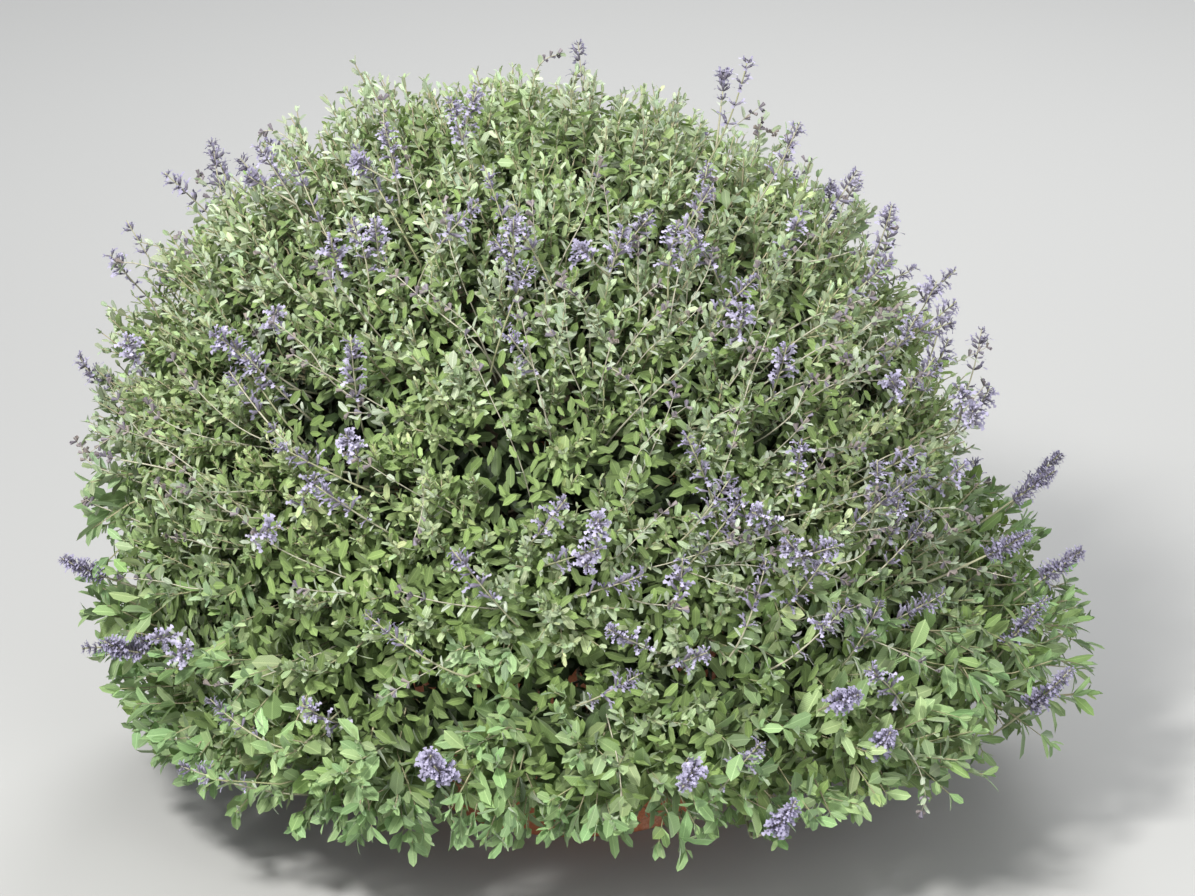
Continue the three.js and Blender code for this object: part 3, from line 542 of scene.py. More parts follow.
def grow_leaves(piles, owner, bases, bends, tips, length, broad, depth, rng):
    n = len(bases)
    bulge = bulges(unit(tips - GROWTH_CENTRE))
    turn = rng.uniform(0, 2 * np.pi, n)
    lance = smooth_step(bases[:, 0], 0.30, 0.38)
    for step in range(PAIRS_ON_A_SHOOT):
        t = (step + 0.6) / (PAIRS_ON_A_SHOOT - 0.2)
        spot = bases * (1 - t) ** 2 + 2 * bends * t * (1 - t) + tips * t ** 2
        axis = unit((bends - bases) * (1 - t) + (tips - bends) * t)
        side = across(axis)
        # broad-leaved shoots have fewer pairs
        kept = ~((broad > 0.5) & (step % 2 == 1) & (step < PAIRS_ON_A_SHOOT - 1))
        for pair, tuft in ((0, False), (0, True), (1, False), (1, True)):
            angle = turn + step * np.pi / 2 + pair * np.pi + rng.normal(0, 0.40, n)
            if tuft:
                angle = angle + rng.choice([-0.7, 0.7], n)
            out = spin(side, axis, angle)
            open_ = np.radians(68 - 34 * t) + rng.normal(0, 0.30, n)
            if tuft:
                open_ = open_ * 0.62
            along = unit(axis * np.cos(open_)[:, None] + out * np.sin(open_)[:, None])
            face = axis * 0.8 + UP * 0.35 + rng.normal(0, 0.36, (n, 3))
            size = (0.0158 + 0.0192 * broad) * rng.uniform(0.66, 1.28, n)
            size = size * (1.0 - 0.45 * max(0.0, t - 0.72) / 0.28) * (0.62 if tuft else 1.0)
            slim = (0.44 - 0.02 * broad - 0.14 * lance) * rng.uniform(0.78, 1.25, n)
            keep = kept & (rng.uniform(size=n) < (0.62 if tuft else 0.97))
            droop = rng.uniform(-0.02, 0.16, n) + 0.06 * broad
            fold = rng.uniform(0.15, 0.55, n)
            # Painted shade: leaves lower on a shoot count as deeper, so leaf_tints darkens them; the tint
            # also darkens towards the shoot's base.
            tint = leaf_tints(spot, depth + np.maximum(bulge, 0) + (1 - t) * 0.055, broad, rng)
            tint = tint * (0.80 + 0.28 * t)
            leaves = (spot, along, face, size, size * slim, fold, droop, tint)
            share_out(piles, owner, keep, broad > 0.45, leaves, rng)


def share_out(piles, owner, keep, wide, leaves, rng):
    """Lays the kept leaves in their clumps' piles. leaves: the arrays that lay_leaves takes."""
    for index in range(len(CLUMPS)):
        for is_wide, template in ((False, SMALL_LEAF), (True, BROAD_LEAF)):
            mine = keep & (owner == index) & (wide == is_wide)
            if mine.any():
                lay_leaves(piles[index], template, *[values[mine] for values in leaves], 0, rng)


def fill_inside(piles, rng):
    """Leaves behind the surface, dark with painted shade, and a ring of them over the pot's rim."""
    headings = unit(rng.normal(size=(INNER_LEAVES, 3)))
    headings = headings[headings[:, 2] > math.sin(math.radians(-20))]
    low = heading_of(rng.uniform(0, 360, LOW_INNER_LEAVES), rng.uniform(-27, 12, LOW_INNER_LEAVES))
    above_rim = heading_of(rng.uniform(0, 360, RIM_INNER_LEAVES), rng.uniform(0, 30, RIM_INNER_LEAVES))
    headings = np.concatenate([headings, low, above_rim])
    n = len(headings)
    far = reach(headings)
    share = rng.uniform(0.70, 0.945, n)
    share[-RIM_INNER_LEAVES:] = rng.uniform(0.55, 0.74, RIM_INNER_LEAVES)
    hollow = np.minimum(bulges(headings), 0)
    spot = GROWTH_CENTRE + headings * ((far + hollow) * share)[:, None]
    along = unit(np.cross(headings, rng.normal(size=(n, 3))) + UP * 0.2)
    size = rng.uniform(0.018, 0.030, n) * np.where(headings[:, 2] < 0.2, 1.2, 1.0)
    size = size * (1 - 0.36 * smooth_step(share, 0.80, 0.91))
    # Painted shade: inner leaves are darker the deeper they sit.
    tint = mixed(np.tile(PAINTED_SHADE_GREEN * 0.6, (n, 1)), HALF_SHADE_GREEN, smooth_step(share, 0.74, 0.92))
    tint = tint * rng.uniform(0.55, 1.1, (n, 1))
    owner = clump_of(spot)
    face = headings + rng.normal(0, 0.45, (n, 3))
    for index in range(len(CLUMPS)):
        m = owner == index
        lay_leaves(piles[index], INNER_LEAF, spot[m], along[m], face[m], size[m], size[m] * 0.44,
                   np.full(m.sum(), 0.3), np.full(m.sum(), 0.05), tint[m], 0, rng)


# Florets: a ribbed cup with a tube, a hood and a three-lobed lower lip

def floret_template():
    """Points, triangles and a colour share (0 cup, 0.5 lavender, 1 pale) of a floret along +X, 1 long."""
    points, triangles, shade = [], [], []
    rings = [(0.0, 0.05, 0.0), (0.42, 0.14, 0.0), (0.70, 0.09, 0.5)]
    sides = 4
    for x, radius, tone in rings:
        for k in range(sides):
            angle = k * 2 * math.pi / sides
            points.append((x, radius * math.cos(angle), radius * math.sin(angle)))
            shade.append(tone)
    for ring in range(len(rings) - 1):
        for k in range(sides):
            a, b = ring * sides + k, ring * sides + (k + 1) % sides
            triangles += [(a, b, b + sides), (a, b + sides, a + sides)]
    start = len(points)
    hood = [(0.66, -0.10, 0.06), (0.66, 0.10, 0.06), (0.86, -0.12, 0.17), (0.86, 0.12, 0.17),
            (0.88, 0.0, 0.25), (1.02, 0.0, 0.13)]
    points += hood
    shade += [0.5, 0.5, 0.5, 0.5, 0.6, 0.7]
    triangles += [(start, start + 2, start + 4), (start, start + 4, start + 1),
                  (start + 1, start + 4, start + 3), (start + 2, start + 5, start + 4),
                  (start + 4, start + 5, start + 3)]
    start = len(points)
    lip = [(0.64, -0.08, -0.06), (0.64, 0.08, -0.06), (0.80, -0.24, -0.13), (0.80, 0.24, -0.13),
           (0.86, -0.07, -0.17), (0.86, 0.07, -0.17), (1.02, -0.19, -0.34), (1.02, 0.19, -0.34),
           (1.04, 0.0, -0.42)]
    points += lip
    shade += [0.5, 0.5, 0.8, 0.8, 1.0, 1.0, 1.0, 1.0, 1.0]
    triangles += [(start, start + 4, start + 2), (start, start + 1, start + 5), (start, start + 5, start + 4),
                  (start + 1, start + 3, start + 5), (start + 4, start + 8, start + 6),
                  (start + 4, start + 5, start + 8), (start + 5, start + 7, start + 8)]
    return np.array(points), np.array(triangles), np.array(shade)


FLORET = floret_template()


def posed(shape, origins, along, side, up, length):
    """Copies of a small shape with these axes, each scaled to its length."""
    turned = along[:, None] * shape[:, 0:1] + side[:, None] * shape[:, 1:2] + up[:, None] * shape[:, 2:3]
    return origins[:, None] + turned * length[:, None, None]


def lay_florets(pile, origins, along, up, length, pale, rng):
    shape, triangles, shade = FLORET
    up = unit(up - along * (up * along).sum(-1, keepdims=True))
    points = posed(shape, origins, along, np.cross(up, along), up, length)
    s = shade[None, :, None]
    petal = PETAL_LAVENDER * (1 - pale[:, None, None]) + PETAL_PALE * pale[:, None, None]
    tint = np.where(s < 0.25, CALYX_PURPLE, petal * (1.25 - s * 0.5) + PETAL_PALE * np.clip(s - 0.5, 0, 1))
    tint = np.clip(tint * rng.uniform(0.8, 1.15, (len(origins), 1, 1)), 0, 0.9)
    pile.add(points, triangles, tint, shape * (1.0, 0.0, 0.0), 0)


def lay_cups(pile, origins, along, length, rng):
    """Spent flowers: the dry cups alone."""
    shape, triangles, shade = FLORET
    cup = int((shade < 0.25).sum())
    triangles = triangles[(triangles < cup).all(1)]
    shape = shape[:cup] / shape[:cup, 0].max()
    n = len(origins)
    side = across(along)
    points = posed(shape, origins, along, side, np.cross(along, side), length)
    tint = mixed(np.tile(SPENT_TAN, (n, 1)), CALYX_PURPLE, rng.uniform(0, 1, n))
    tint = tint * rng.uniform(0.8, 1.3, (n, 1))
    pile.add(points, triangles, tint[:, None], np.zeros(3), 0)


def along_path(path, t):
    """Points and directions at shares t of a quadratic path."""
    a, b, c = path
    t = np.asarray(t)[:, None]
    return a * (1 - t) ** 2 + 2 * b * t * (1 - t) + c * t ** 2, unit((b - a) * (1 - t) + (c - b) * t)


def add_whorls(pile, path, stops, count, radius, length, pale, rng):
    """Rings of florets round a stalk, each leaning out and up along it."""
    spots, ways = along_path(path, stops)
    for spot, way, r in zip(spots, ways, radius):
        side = across(way[None])[0]
        angles = np.arange(count) * 2 * np.pi / count + rng.uniform(0, 6.3) + rng.normal(0, 0.35, count)
        out = spin(np.tile(side, (count, 1)), np.tile(way, (count, 1)), angles)
        lean = rng.uniform(0.35, 1.1, count)[:, None]
        along = unit(out + way * lean)
        size = length * rng.uniform(0.62, 1.2, count) * r
        paleness = np.clip(rng.normal(pale, 0.2, count), 0, 1)
        there = rng.uniform(size=count) < 0.86
        lay_florets(pile, spot + out[there] * 0.0008, along[there], way * 0.9 + UP * 0.3, size[there],
                    paleness[there], rng)


def add_stalk(pile, root, path, radius, rng):
    """A stalk that leaves a branch at root, joins the path and ends at its tip."""
    a, b, c = path
    gap = np.linalg.norm(a - root)
    lower = bezier(root[None], (root + unit(a - root) * gap * 0.5)[None], a[None], 4)[:, :3]
    line = np.concatenate([lower, bezier(a[None], b[None], c[None], 8)], 1)
    radii = np.linspace(radius, radius * 0.45, line.shape[1])[None]
    tint = mixed(STALK_TAN[None], SHOOT_GREEN, rng.uniform(0.1, 0.8, 1))
    lay_tubes(pile, line, radii, 5, tint, 1)


def cad_path(node):
    """Base, bend and tip of a flower stalk, read from its CAD node's place."""
    co = np.array([v.co[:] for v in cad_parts[node].data.vertices])
    co = np.unique(co.round(5), axis=0)
    from_centre = np.linalg.norm(co - GROWTH_CENTRE, axis=1)
    base = co[np.argsort(from_centre)[:6]].mean(0)
    from_base = np.linalg.norm(co - base, axis=1)
    bend = co[np.argsort(from_base)[6:12]].mean(0)
    tip = co[np.argmax(from_base)]
    middle = base + (bend - base) * 0.5 / 0.3
    return base, middle, tip


def side_path(node, path):
    """The path of a spray's side stalk, or None where its CAD node has none."""
    co = np.array([v.co[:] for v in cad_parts[node].data.vertices])
    spots, _ = along_path(path, np.linspace(0, 1, 40))
    gap = np.linalg.norm(co[:, None] - spots[None], axis=2).min(1)
    if gap.max() < 0.025:
        return None
    start = along_path(path, [0.34])[0][0]
    tip = co[np.argmax(gap)]
    return start, (start + tip) / 2 + unit(tip - start) * 0.004, tip


def make_spray(pile, path, root, rng, reach_share=1.0):
    """A loose spray: whorls of open florets with bare stalk between them, and buds at the tip."""
    add_stalk(pile, root, path, SPRAY_STALK, rng)
    first = rng.uniform(0.46, 0.58) if reach_share > 0.9 else 0.62
    shares = np.array([0.0, 0.30, 0.52, 0.66, 0.76, 0.85, 0.93, 0.985])
    stops = first + (1 - first) * shares + rng.normal(0, 0.014, 8)
    open_part = rng.uniform(0.80, 1.1, 5) * np.array([0.9, 1.05, 1.0, 0.95, 0.9])
    add_whorls(pile, path, stops[:3], 3, open_part[:3], LOW_FLORET, 0.60, rng)
    add_whorls(pile, path, stops[3:5], 4, open_part[3:], HIGH_FLORET, 0.60, rng)
    add_whorls(pile, path, stops[5:].clip(0, 0.99), 3, [0.78, 0.66, 0.46], BUD, 0.25, rng)
    # a pair of small leaves under the lowest whorl
    spots, ways = along_path(path, [first - 0.10, first - 0.10, first - 0.22, first - 0.22])
    side = across(ways)
    angles = np.array([0, np.pi, np.pi / 2, 3 * np.pi / 2]) + rng.uniform(0, 3)
    out = spin(side, ways, angles)
    lay_leaves(pile, SMALL_LEAF, spots, unit(out + ways * 0.6), ways, np.full(4, 0.013),
               np.full(4, 0.0045), np.full(4, 0.3), np.full(4, 0.1),
               np.tile(GREY_GREEN, (4, 1)), 2, rng)


def make_spike(pile, path, root, rng):
    """A dense spike: many close whorls that narrow towards the tip."""
    add_stalk(pile, root, path, SPIKE_STALK, rng)
    stops = np.linspace(0.46, 0.98, SPIKE_WHORLS)
    girth = 1 - 0.5 * np.linspace(0, 1, SPIKE_WHORLS) ** 2.2
    add_whorls(pile, path, stops, 9, girth, SPIKE_FLORET, 0.15, rng)


# Materials: each is built from nodes

def new_material(name):
    mat = bpy.data.materials.new(name)
    mat.use_nodes = True
    tree = mat.node_tree
    tree.nodes.clear()
    out = tree.nodes.new("ShaderNodeOutputMaterial")
    shader = tree.nodes.new("ShaderNodeBsdfPrincipled")
    tree.links.new(shader.outputs[0], out.inputs[0])
    return mat, tree, shader, out


def node(tree, kind, **values):
    made = tree.nodes.new(kind)
    for key, value in values.items():
        if key.startswith("in_"):
            made.inputs[key[3:].replace("_", " ")].default_value = value
        else:
            setattr(made, key, value)
    return made


def math_node(tree, operation, a, b=None, clamp=False):
    made = tree.nodes.new("ShaderNodeMath")
    made.operation = operation
    made.use_clamp = clamp
    for socket, value in zip(made.inputs, (a, b)):
        if value is None:
            continue
        if isinstance(value, (int, float)):
            socket.default_value = value
        else:
            tree.links.new(value, socket)
    return made.outputs[0]


def colour_mix(tree, blend, factor, a, b):
    made = tree.nodes.new("ShaderNodeMix")
    made.data_type = "RGBA"
    made.blend_type = blend
    for socket, value in ((made.inputs[0], factor), (made.inputs[6], a), (made.inputs[7], b)):
        if isinstance(value, (int, float, tuple)):
            socket.default_value = value
        else:
            tree.links.new(value, socket)
    return made.outputs[2]


def add_bump(tree, shader, height, strength, distance):
    bump = node(tree, "ShaderNodeBump", in_Strength=strength, in_Distance=distance)
    tree.links.new(height, bump.inputs["Height"])
    tree.links.new(bump.outputs[0], shader.inputs["Normal"])


def let_light_through(tree, shader, out, colour, share):
    """Adds the light that comes through a thin sheet to its shader."""
    glow = tree.nodes.new("ShaderNodeBsdfTranslucent")
    tree.links.new(colour, glow.inputs["Color"])
    blend = tree.nodes.new("ShaderNodeMixShader")
    blend.inputs[0].default_value = share
    tree.links.new(shader.outputs[0], blend.inputs[1])
    tree.links.new(glow.outputs[0], blend.inputs[2])
    tree.links.new(blend.outputs[0], out.inputs[0])


def attribute(tree, name):
    return node(tree, "ShaderNodeAttribute", attribute_type="GEOMETRY", attribute_name=name)


def leaf_material(name, vein_depth):
    """A hairy leaf: pale midrib and side veins, mottled tint, light through the blade."""
    mat, tree, shader, out = new_material(name)
    tint = attribute(tree, "tint").outputs["Color"]
    split = tree.nodes.new("ShaderNodeSeparateXYZ")
    tree.links.new(attribute(tree, "local").outputs["Vector"], split.inputs[0])
    u, v = split.outputs[0], split.outputs[1]
    off = math_node(tree, "ABSOLUTE", v)
    rib = math_node(tree, "SUBTRACT", 1.0, math_node(tree, "MULTIPLY", off, 9.0), clamp=True)
    steps = math_node(tree, "MULTIPLY", u, 44.0)
    slanted = math_node(tree, "SUBTRACT", steps, math_node(tree, "MULTIPLY", off, 16.0))
    vein = math_node(tree, "POWER", math_node(tree, "ABSOLUTE", math_node(tree, "SINE", slanted)), 0.5)
    side_veins = math_node(tree, "MULTIPLY", math_node(tree, "SUBTRACT", 1.0, vein), 0.55)
    lines = math_node(tree, "MAXIMUM", rib, side_veins)
    noise = node(tree, "ShaderNodeTexNoise", in_Scale=420.0, in_Detail=2.0)
    mottle = math_node(tree, "ADD", math_node(tree, "MULTIPLY", noise.outputs[0], 0.5), 0.75)
    grey = tree.nodes.new("ShaderNodeCombineColor")
    for socket in grey.inputs:
        tree.links.new(mottle, socket)
    body = colour_mix(tree, "MULTIPLY", 1.0, tint, grey.outputs[0])
    pale = colour_mix(tree, "MULTIPLY", 1.0, body, (1.75, 1.60, 1.80, 1))
    colour = colour_mix(tree, "MIX", lines, body, pale)
    tree.links.new(colour, shader.inputs["Base Color"])
    shader.inputs["Roughness"].default_value = 0.58
    shader.inputs["Specular IOR Level"].default_value = 0.35
    shader.inputs["Sheen Weight"].default_value = 0.30
    shader.inputs["Sheen Roughness"].default_value = 0.45
    add_bump(tree, shader, math_node(tree, "SUBTRACT", 1.0, lines), 0.35, vein_depth)
    warm = colour_mix(tree, "MULTIPLY", 1.0, colour, (1.2, 1.3, 0.7, 1))
    let_light_through(tree, shader, out, warm, 0.22)
    return mat


def twig_material(name):
    """Young bark: its tint with fine streaks along it."""
    mat, tree, shader, _ = new_material(name)
    tint = attribute(tree, "tint").outputs["Color"]
    noise = node(tree, "ShaderNodeTexNoise", in_Scale=260.0, in_Detail=3.0)
    dark = colour_mix(tree, "MULTIPLY", 1.0, tint, (0.45, 0.42, 0.38, 1))
    colour = colour_mix(tree, "MIX", noise.outputs[0], dark, tint)
    tree.links.new(colour, shader.inputs["Base Color"])
    shader.inputs["Roughness"].default_value = 0.8
    add_bump(tree, shader, noise.outputs[0], 0.4, 0.0006)
    return mat


def petal_material(name):
    """Petals and cups: their tint, mottled darker, with soft light through them."""
    mat, tree, shader, out = new_material(name)
    tint = attribute(tree, "tint").outputs["Color"]
    noise = node(tree, "ShaderNodeTexNoise", in_Scale=900.0, in_Detail=2.0)
    dark = colour_mix(tree, "MULTIPLY", 1.0, tint, (0.72, 0.68, 0.82, 1))
    colour = colour_mix(tree, "MIX", noise.outputs[0], dark, tint)
    tree.links.new(colour, shader.inputs["Base Color"])
    shader.inputs["Roughness"].default_value = 0.6
    shader.inputs["Sheen Weight"].default_value = 0.15
    let_light_through(tree, shader, out, colour, 0.3)
    return mat


def ramp(tree, source, stops):
    made = tree.nodes.new("ShaderNodeValToRGB")
    tree.links.new(source, made.inputs[0])
    elements = made.color_ramp.elements
    while len(elements) < len(stops):
        elements.new(0.5)
    for element, (at, colour) in zip(elements, stops):
        element.position = at
        element.color = (*colour, 1)
    return made.outputs[0]


def clay_material():
    """Fired clay: uneven orange, pale mineral bloom, fine grit and faint throwing lines."""
    mat, tree, shader, _ = new_material("fired_clay")
    position = node(tree, "ShaderNodeNewGeometry").outputs["Position"]
    broad = node(tree, "ShaderNodeTexNoise", in_Scale=9.0, in_Detail=5.0, in_Roughness=0.6)
    grit = node(tree, "ShaderNodeTexNoise", in_Scale=420.0, in_Detail=3.0)
    bloom = node(tree, "ShaderNodeTexNoise", in_Scale=16.0, in_Detail=8.0, in_Roughness=0.7)
    for texture in (broad, grit, bloom):
        tree.links.new(position, texture.inputs["Vector"])
    base = ramp(tree, broad.outputs[0], [
        (0.25, (0.33, 0.105, 0.048)), (0.6, (0.48, 0.175, 0.085)), (0.8, (0.56, 0.235, 0.125)),
    ])
    patches = ramp(tree, bloom.outputs[0], [(0.52, (0.0, 0.0, 0.0)), (0.72, (0.55, 0.55, 0.55))])
    pale = colour_mix(tree, "MIX", patches, base, (0.66, 0.56, 0.47, 1))
    speckle = ramp(tree, grit.outputs[0], [(0.35, (0.78, 0.78, 0.78)), (0.65, (1.08, 1.08, 1.08))])
    colour = colour_mix(tree, "MULTIPLY", 1.0, pale, speckle)
    tree.links.new(colour, shader.inputs["Base Color"])
    shader.inputs["Roughness"].default_value = 0.92
    lines = node(tree, "ShaderNodeTexWave", wave_type="BANDS", bands_direction="Z",
                 in_Scale=42.0, in_Distortion=1.5)
    tree.links.new(position, lines.inputs["Vector"])
    height = math_node(tree, "ADD", math_node(tree, "MULTIPLY", lines.outputs["Fac"], 0.5), grit.outputs[0])
    add_bump(tree, shader, height, 0.5, 0.0007)
    return mat


def soil_material():
    """Potting mix: dark crumbs with paler patches."""
    mat, tree, shader, _ = new_material("potting_mix")
    position = node(tree, "ShaderNodeNewGeometry").outputs["Position"]
    crumbs = node(tree, "ShaderNodeTexVoronoi", in_Scale=160.0)
    noise = node(tree, "ShaderNodeTexNoise", in_Scale=90.0, in_Detail=6.0)
    for texture in (crumbs, noise):
        tree.links.new(position, texture.inputs["Vector"])
    base = ramp(tree, noise.outputs[0], [
        (0.3, (0.018, 0.012, 0.008)), (0.6, (0.062, 0.042, 0.028)), (0.78, (0.16, 0.115, 0.075)),
    ])
    tree.links.new(base, shader.inputs["Base Color"])
    shader.inputs["Roughness"].default_value = 0.95
    add_bump(tree, shader, crumbs.outputs["Distance"], 0.9, 0.002)
    return mat


# Pot and soil

def lathe(name, profile, sides, material):
    """A closed turned body from (radius, height) points that start and end on the axis."""
    points, faces = [], []
    rings = []
    for radius, height in profile:
        if radius == 0:
            rings.append([len(points)])
            points.append((0, 0, height))
            continue
        rings.append(list(range(len(points), len(points) + sides)))
        for k in range(sides):
            angle = k * 2 * math.pi / sides
            points.append((radius * math.cos(angle), radius * math.sin(angle), height))
    for lower, upper in zip(rings, rings[1:]):
        for k in range(sides):
            j = (k + 1) % sides
            if len(lower) == 1:
                faces.append((lower[0], upper[j], upper[k]))
            elif len(upper) == 1:
                faces.append((lower[k], lower[j], upper[0]))
            else:
                faces.append((lower[k], lower[j], upper[j], upper[k]))
    mesh = bpy.data.meshes.new(name)
    mesh.from_pydata(points, [], faces)
    mesh.materials.append(material)
    mesh.polygons.foreach_set("use_smooth", [True] * len(faces))
    mesh.update()
    piece = bpy.data.objects.new(name, mesh)
    bpy.context.scene.collection.objects.link(piece)
    return piece


def pot_wall(height):
    share = height / POT_HEIGHT
    return POT_BASE_RADIUS + (POT_MOUTH_RADIUS - POT_BASE_RADIUS) * share


def rounded(points, radius, steps=4):
    """The outline with every corner but its two ends rounded."""
    done = [points[0]]
    for before, corner, after in zip(points, points[1:], points[2:]):
        before, corner, after = map(np.array, (before, corner, after))
        r = min(radius, np.linalg.norm(before - corner) * 0.45, np.linalg.norm(after - corner) * 0.45)
        a = corner + (before - corner) / np.linalg.norm(before - corner) * r
        b = corner + (after - corner) / np.linalg.norm(after - corner) * r
        for k in range(steps + 1):
            t = k / steps
            done.append(tuple(a * (1 - t) ** 2 + 2 * corner * t * (1 - t) + b * t ** 2))
    return done + [points[-1]]


def make_pot(material):
    band_foot = POT_HEIGHT - RIM_HEIGHT
    band = POT_MOUTH_RADIUS + RIM_PROUD
    profile = rounded([
        (0, 0.0), (POT_BASE_RADIUS, 0.0), (pot_wall(band_foot), band_foot),
        (band - 0.003, band_foot + 0.002), (band, POT_HEIGHT), (POT_MOUTH_RADIUS - POT_WALL, POT_HEIGHT),
        (POT_BASE_RADIUS - POT_WALL, POT_FLOOR), (0, POT_FLOOR),
    ], 0.005)
    pot = lathe("clay_pot", profile, 112, material)
    for k in range(DRAIN_HOLES):
        angle = (k + 0.5) * 2 * math.pi / DRAIN_HOLES
        spot = (DRAIN_CIRCLE * math.cos(angle), DRAIN_CIRCLE * math.sin(angle), POT_FLOOR / 2)
        bpy.ops.mesh.primitive_cylinder_add(vertices=24, radius=DRAIN_RADIUS, depth=0.06, location=spot)
        drill = bpy.context.object
        cut = pot.modifiers.new("drain", "BOOLEAN")
        cut.operation, cut.solver, cut.object = "DIFFERENCE", "EXACT", drill
        bpy.context.view_layer.objects.active = pot
        bpy.ops.object.modifier_apply(modifier=cut.name)
        bpy.data.objects.remove(drill)
    return pot


def make_soil(material, rng):
    """An uneven top over a plain fill, and the crumbs on it."""
    edge = POT_BASE_RADIUS - POT_WALL + (POT_MOUTH_RADIUS - POT_BASE_RADIUS) * (
        (SOIL_LEVEL - POT_FLOOR) / (POT_HEIGHT - POT_FLOOR)) - SOIL_GAP
    floor_edge = POT_BASE_RADIUS - POT_WALL - SOIL_GAP
    rings, sides = 26, 120
    profile = [(0, POT_FLOOR + 0.0005), (floor_edge, POT_FLOOR + 0.0005)]
    profile += [(edge * (rings - i) / rings, SOIL_LEVEL + SOIL_MOUND * (i / rings)) for i in range(rings)]
    profile.append((0, SOIL_LEVEL + SOIL_MOUND))
    soil = lathe("soil_fill", profile, sides, material)
    for vertex in soil.data.vertices:
        x, y, z = vertex.co
        if z > SOIL_LEVEL - 0.001 and math.hypot(x, y) < edge * 0.97:
            broad_ripple = 0.0022 * math.sin(x * 61 + 2) * math.cos(y * 53)
            fine_ripple = 0.0012 * math.sin(x * 170) * math.sin(y * 190)
            vertex.co.z += broad_ripple + fine_ripple
    return soil, make_crumbs(edge, material, rng)


def make_crumbs(edge, material, rng):
    """Small eight-sided lumps strewn over the soil."""
    crumbs = Pile()
    count = SOIL_CRUMBS
    radius = edge * 0.95 * np.sqrt(rng.uniform(0, 1, count))
    angle = rng.uniform(0, 2 * np.pi, count)
    height = SOIL_LEVEL + SOIL_MOUND * (1 - radius / edge) + 0.001
    spots = np.stack([radius * np.cos(angle), radius * np.sin(angle), height], -1)
    shape = np.array([(1, 0, 0), (-1, 0, 0), (0, 1, 0), (0, -1, 0), (0, 0, 1), (0, 0, -1)], float)
    upper = [(0, 2, 4), (2, 1, 4), (1, 3, 4), (3, 0, 4)]
    lower = [(2, 0, 5), (1, 2, 5), (3, 1, 5), (0, 3, 5)]
    triangles = np.array(upper + lower)
    size = rng.uniform(0.0012, 0.0045, (count, 1, 1)) * rng.uniform(0.6, 1.3, (count, 6, 1))
    points = spots[:, None] + shape[None] * size
    crumbs.add(points, triangles, np.zeros(3), np.zeros(3), 0)
    piece = crumbs.build("soil_crumbs", [material])
    piece.data.polygons.foreach_set("use_smooth", np.zeros(len(piece.data.polygons), bool))
    return piece


# Woody stems from the soil to the points that the shoots spring from

def make_branches(hubs, owners, material, rng):
    pile = Pile()
    forks = []
    for k in range(WOODY_STEMS):
        out = heading_of(np.array([k * 360 / WOODY_STEMS + 12], float), 0)[0]
        foot = out * 0.0126 + UP * (SOIL_LEVEL - 0.04)
        knee = out * 0.036 + UP * (SOIL_LEVEL + 0.020)
        fork = out * 0.070 + UP * (SOIL_LEVEL + (0.104 if k % 2 else 0.080))
        line = bezier(foot[None], knee[None], fork[None], 14)
        bumps = 1 + 0.12 * np.sin(np.arange(14) * 2.1 + k)
        lay_tubes(pile, line, (np.linspace(0.0125, 0.0085, 14) * bumps)[None], 10, TWIG_TAN[None] * 0.55, 0)
        forks.append(fork)
    forks = np.array(forks)
    limbs = []
    for heading in CLUMPS:
        flat = forks[:, :2] @ heading[:2]
        fork = forks[np.argmax(flat)]
        far = reach(heading[None])[0]
        limb_end = GROWTH_CENTRE + heading * far * 0.40
        limb_end[2] = max(limb_end[2], POT_HEIGHT + 0.012)
        middle = (fork + limb_end) / 2 + UP * 0.025
        line = bezier(fork[None], middle[None], limb_end[None], 8)
        lay_tubes(pile, line, np.linspace(0.0062, 0.0042, 8)[None], 8, TWIG_TAN[None] * 0.65, 0)
        limbs.append(limb_end)
    limbs = np.array(limbs)
    starts = limbs[owners]
    rise = np.linalg.norm(hubs - starts, axis=1)[:, None]
    way = CLUMPS[owners]
    lines = bezier(starts, starts + way * rise * 0.5 + UP * 0.01, hubs, 6)
    radii = np.linspace(0.0034, 0.0019, 6)[None] * rng.uniform(0.85, 1.15, (len(hubs), 1))
    lay_tubes(pile, lines, radii, 6, np.tile(TWIG_TAN * 0.8, (len(hubs), 1)), 0)
    return pile.build("woody_branches", [material])


# Camera, lights and floor

def make_stage():
    size = 30
    mesh = bpy.data.meshes.new("floor")
    corners = [(-size, -size, 0), (size, -size, 0), (size, size, 0), (-size, size, 0)]
    mesh.from_pydata(corners, [], [(0, 1, 2, 3)])
    floor = bpy.data.objects.new("floor", mesh)
    bpy.context.scene.collection.objects.link(floor)
    mat, _, shader, _ = new_material("floor_paper")
    shader.inputs["Base Color"].default_value = (0.34, 0.34, 0.335, 1)
    shader.inputs["Roughness"].default_value = 0.9
    mesh.materials.append(mat)


def make_light(name, spot, target, size, power, colour):
    data = bpy.data.lights.new(name, "AREA")
    data.shape = "DISK"
    data.size = size
    data.energy = power
    data.color = colour
    light = bpy.data.objects.new(name, data)
    light.location = spot
    way = np.array(target) - np.array(spot)
    light.rotation_euler = (
        math.acos(-way[2] / np.linalg.norm(way)), 0, math.atan2(way[1], way[0]) - math.pi / 2,
    )
    bpy.context.scene.collection.objects.link(light)


def make_lights():
    make_light("key", (-1.4, -2.7, 3.2), (0, 0, 0.35), 0.7, 285, (1.0, 0.985, 0.955))
    make_light("fill", (1.4, -3.4, 1.5), (0, 0, 0.30), 2.2, 90, (1.0, 0.99, 0.97))
    make_light("back", (0.5, 2.8, 2.8), (0, 0, 0.40), 1.6, 110, (1.0, 1.0, 1.0))
    world = bpy.data.worlds.new("studio")
    bpy.context.scene.world = world
    world.use_nodes = True
    background = world.node_tree.nodes["Background"]
    background.inputs[0].default_value = (0.93, 0.96, 1.0, 1)
    background.inputs[1].default_value = 0.62
    bpy.context.scene.view_settings.view_transform = "Standard"


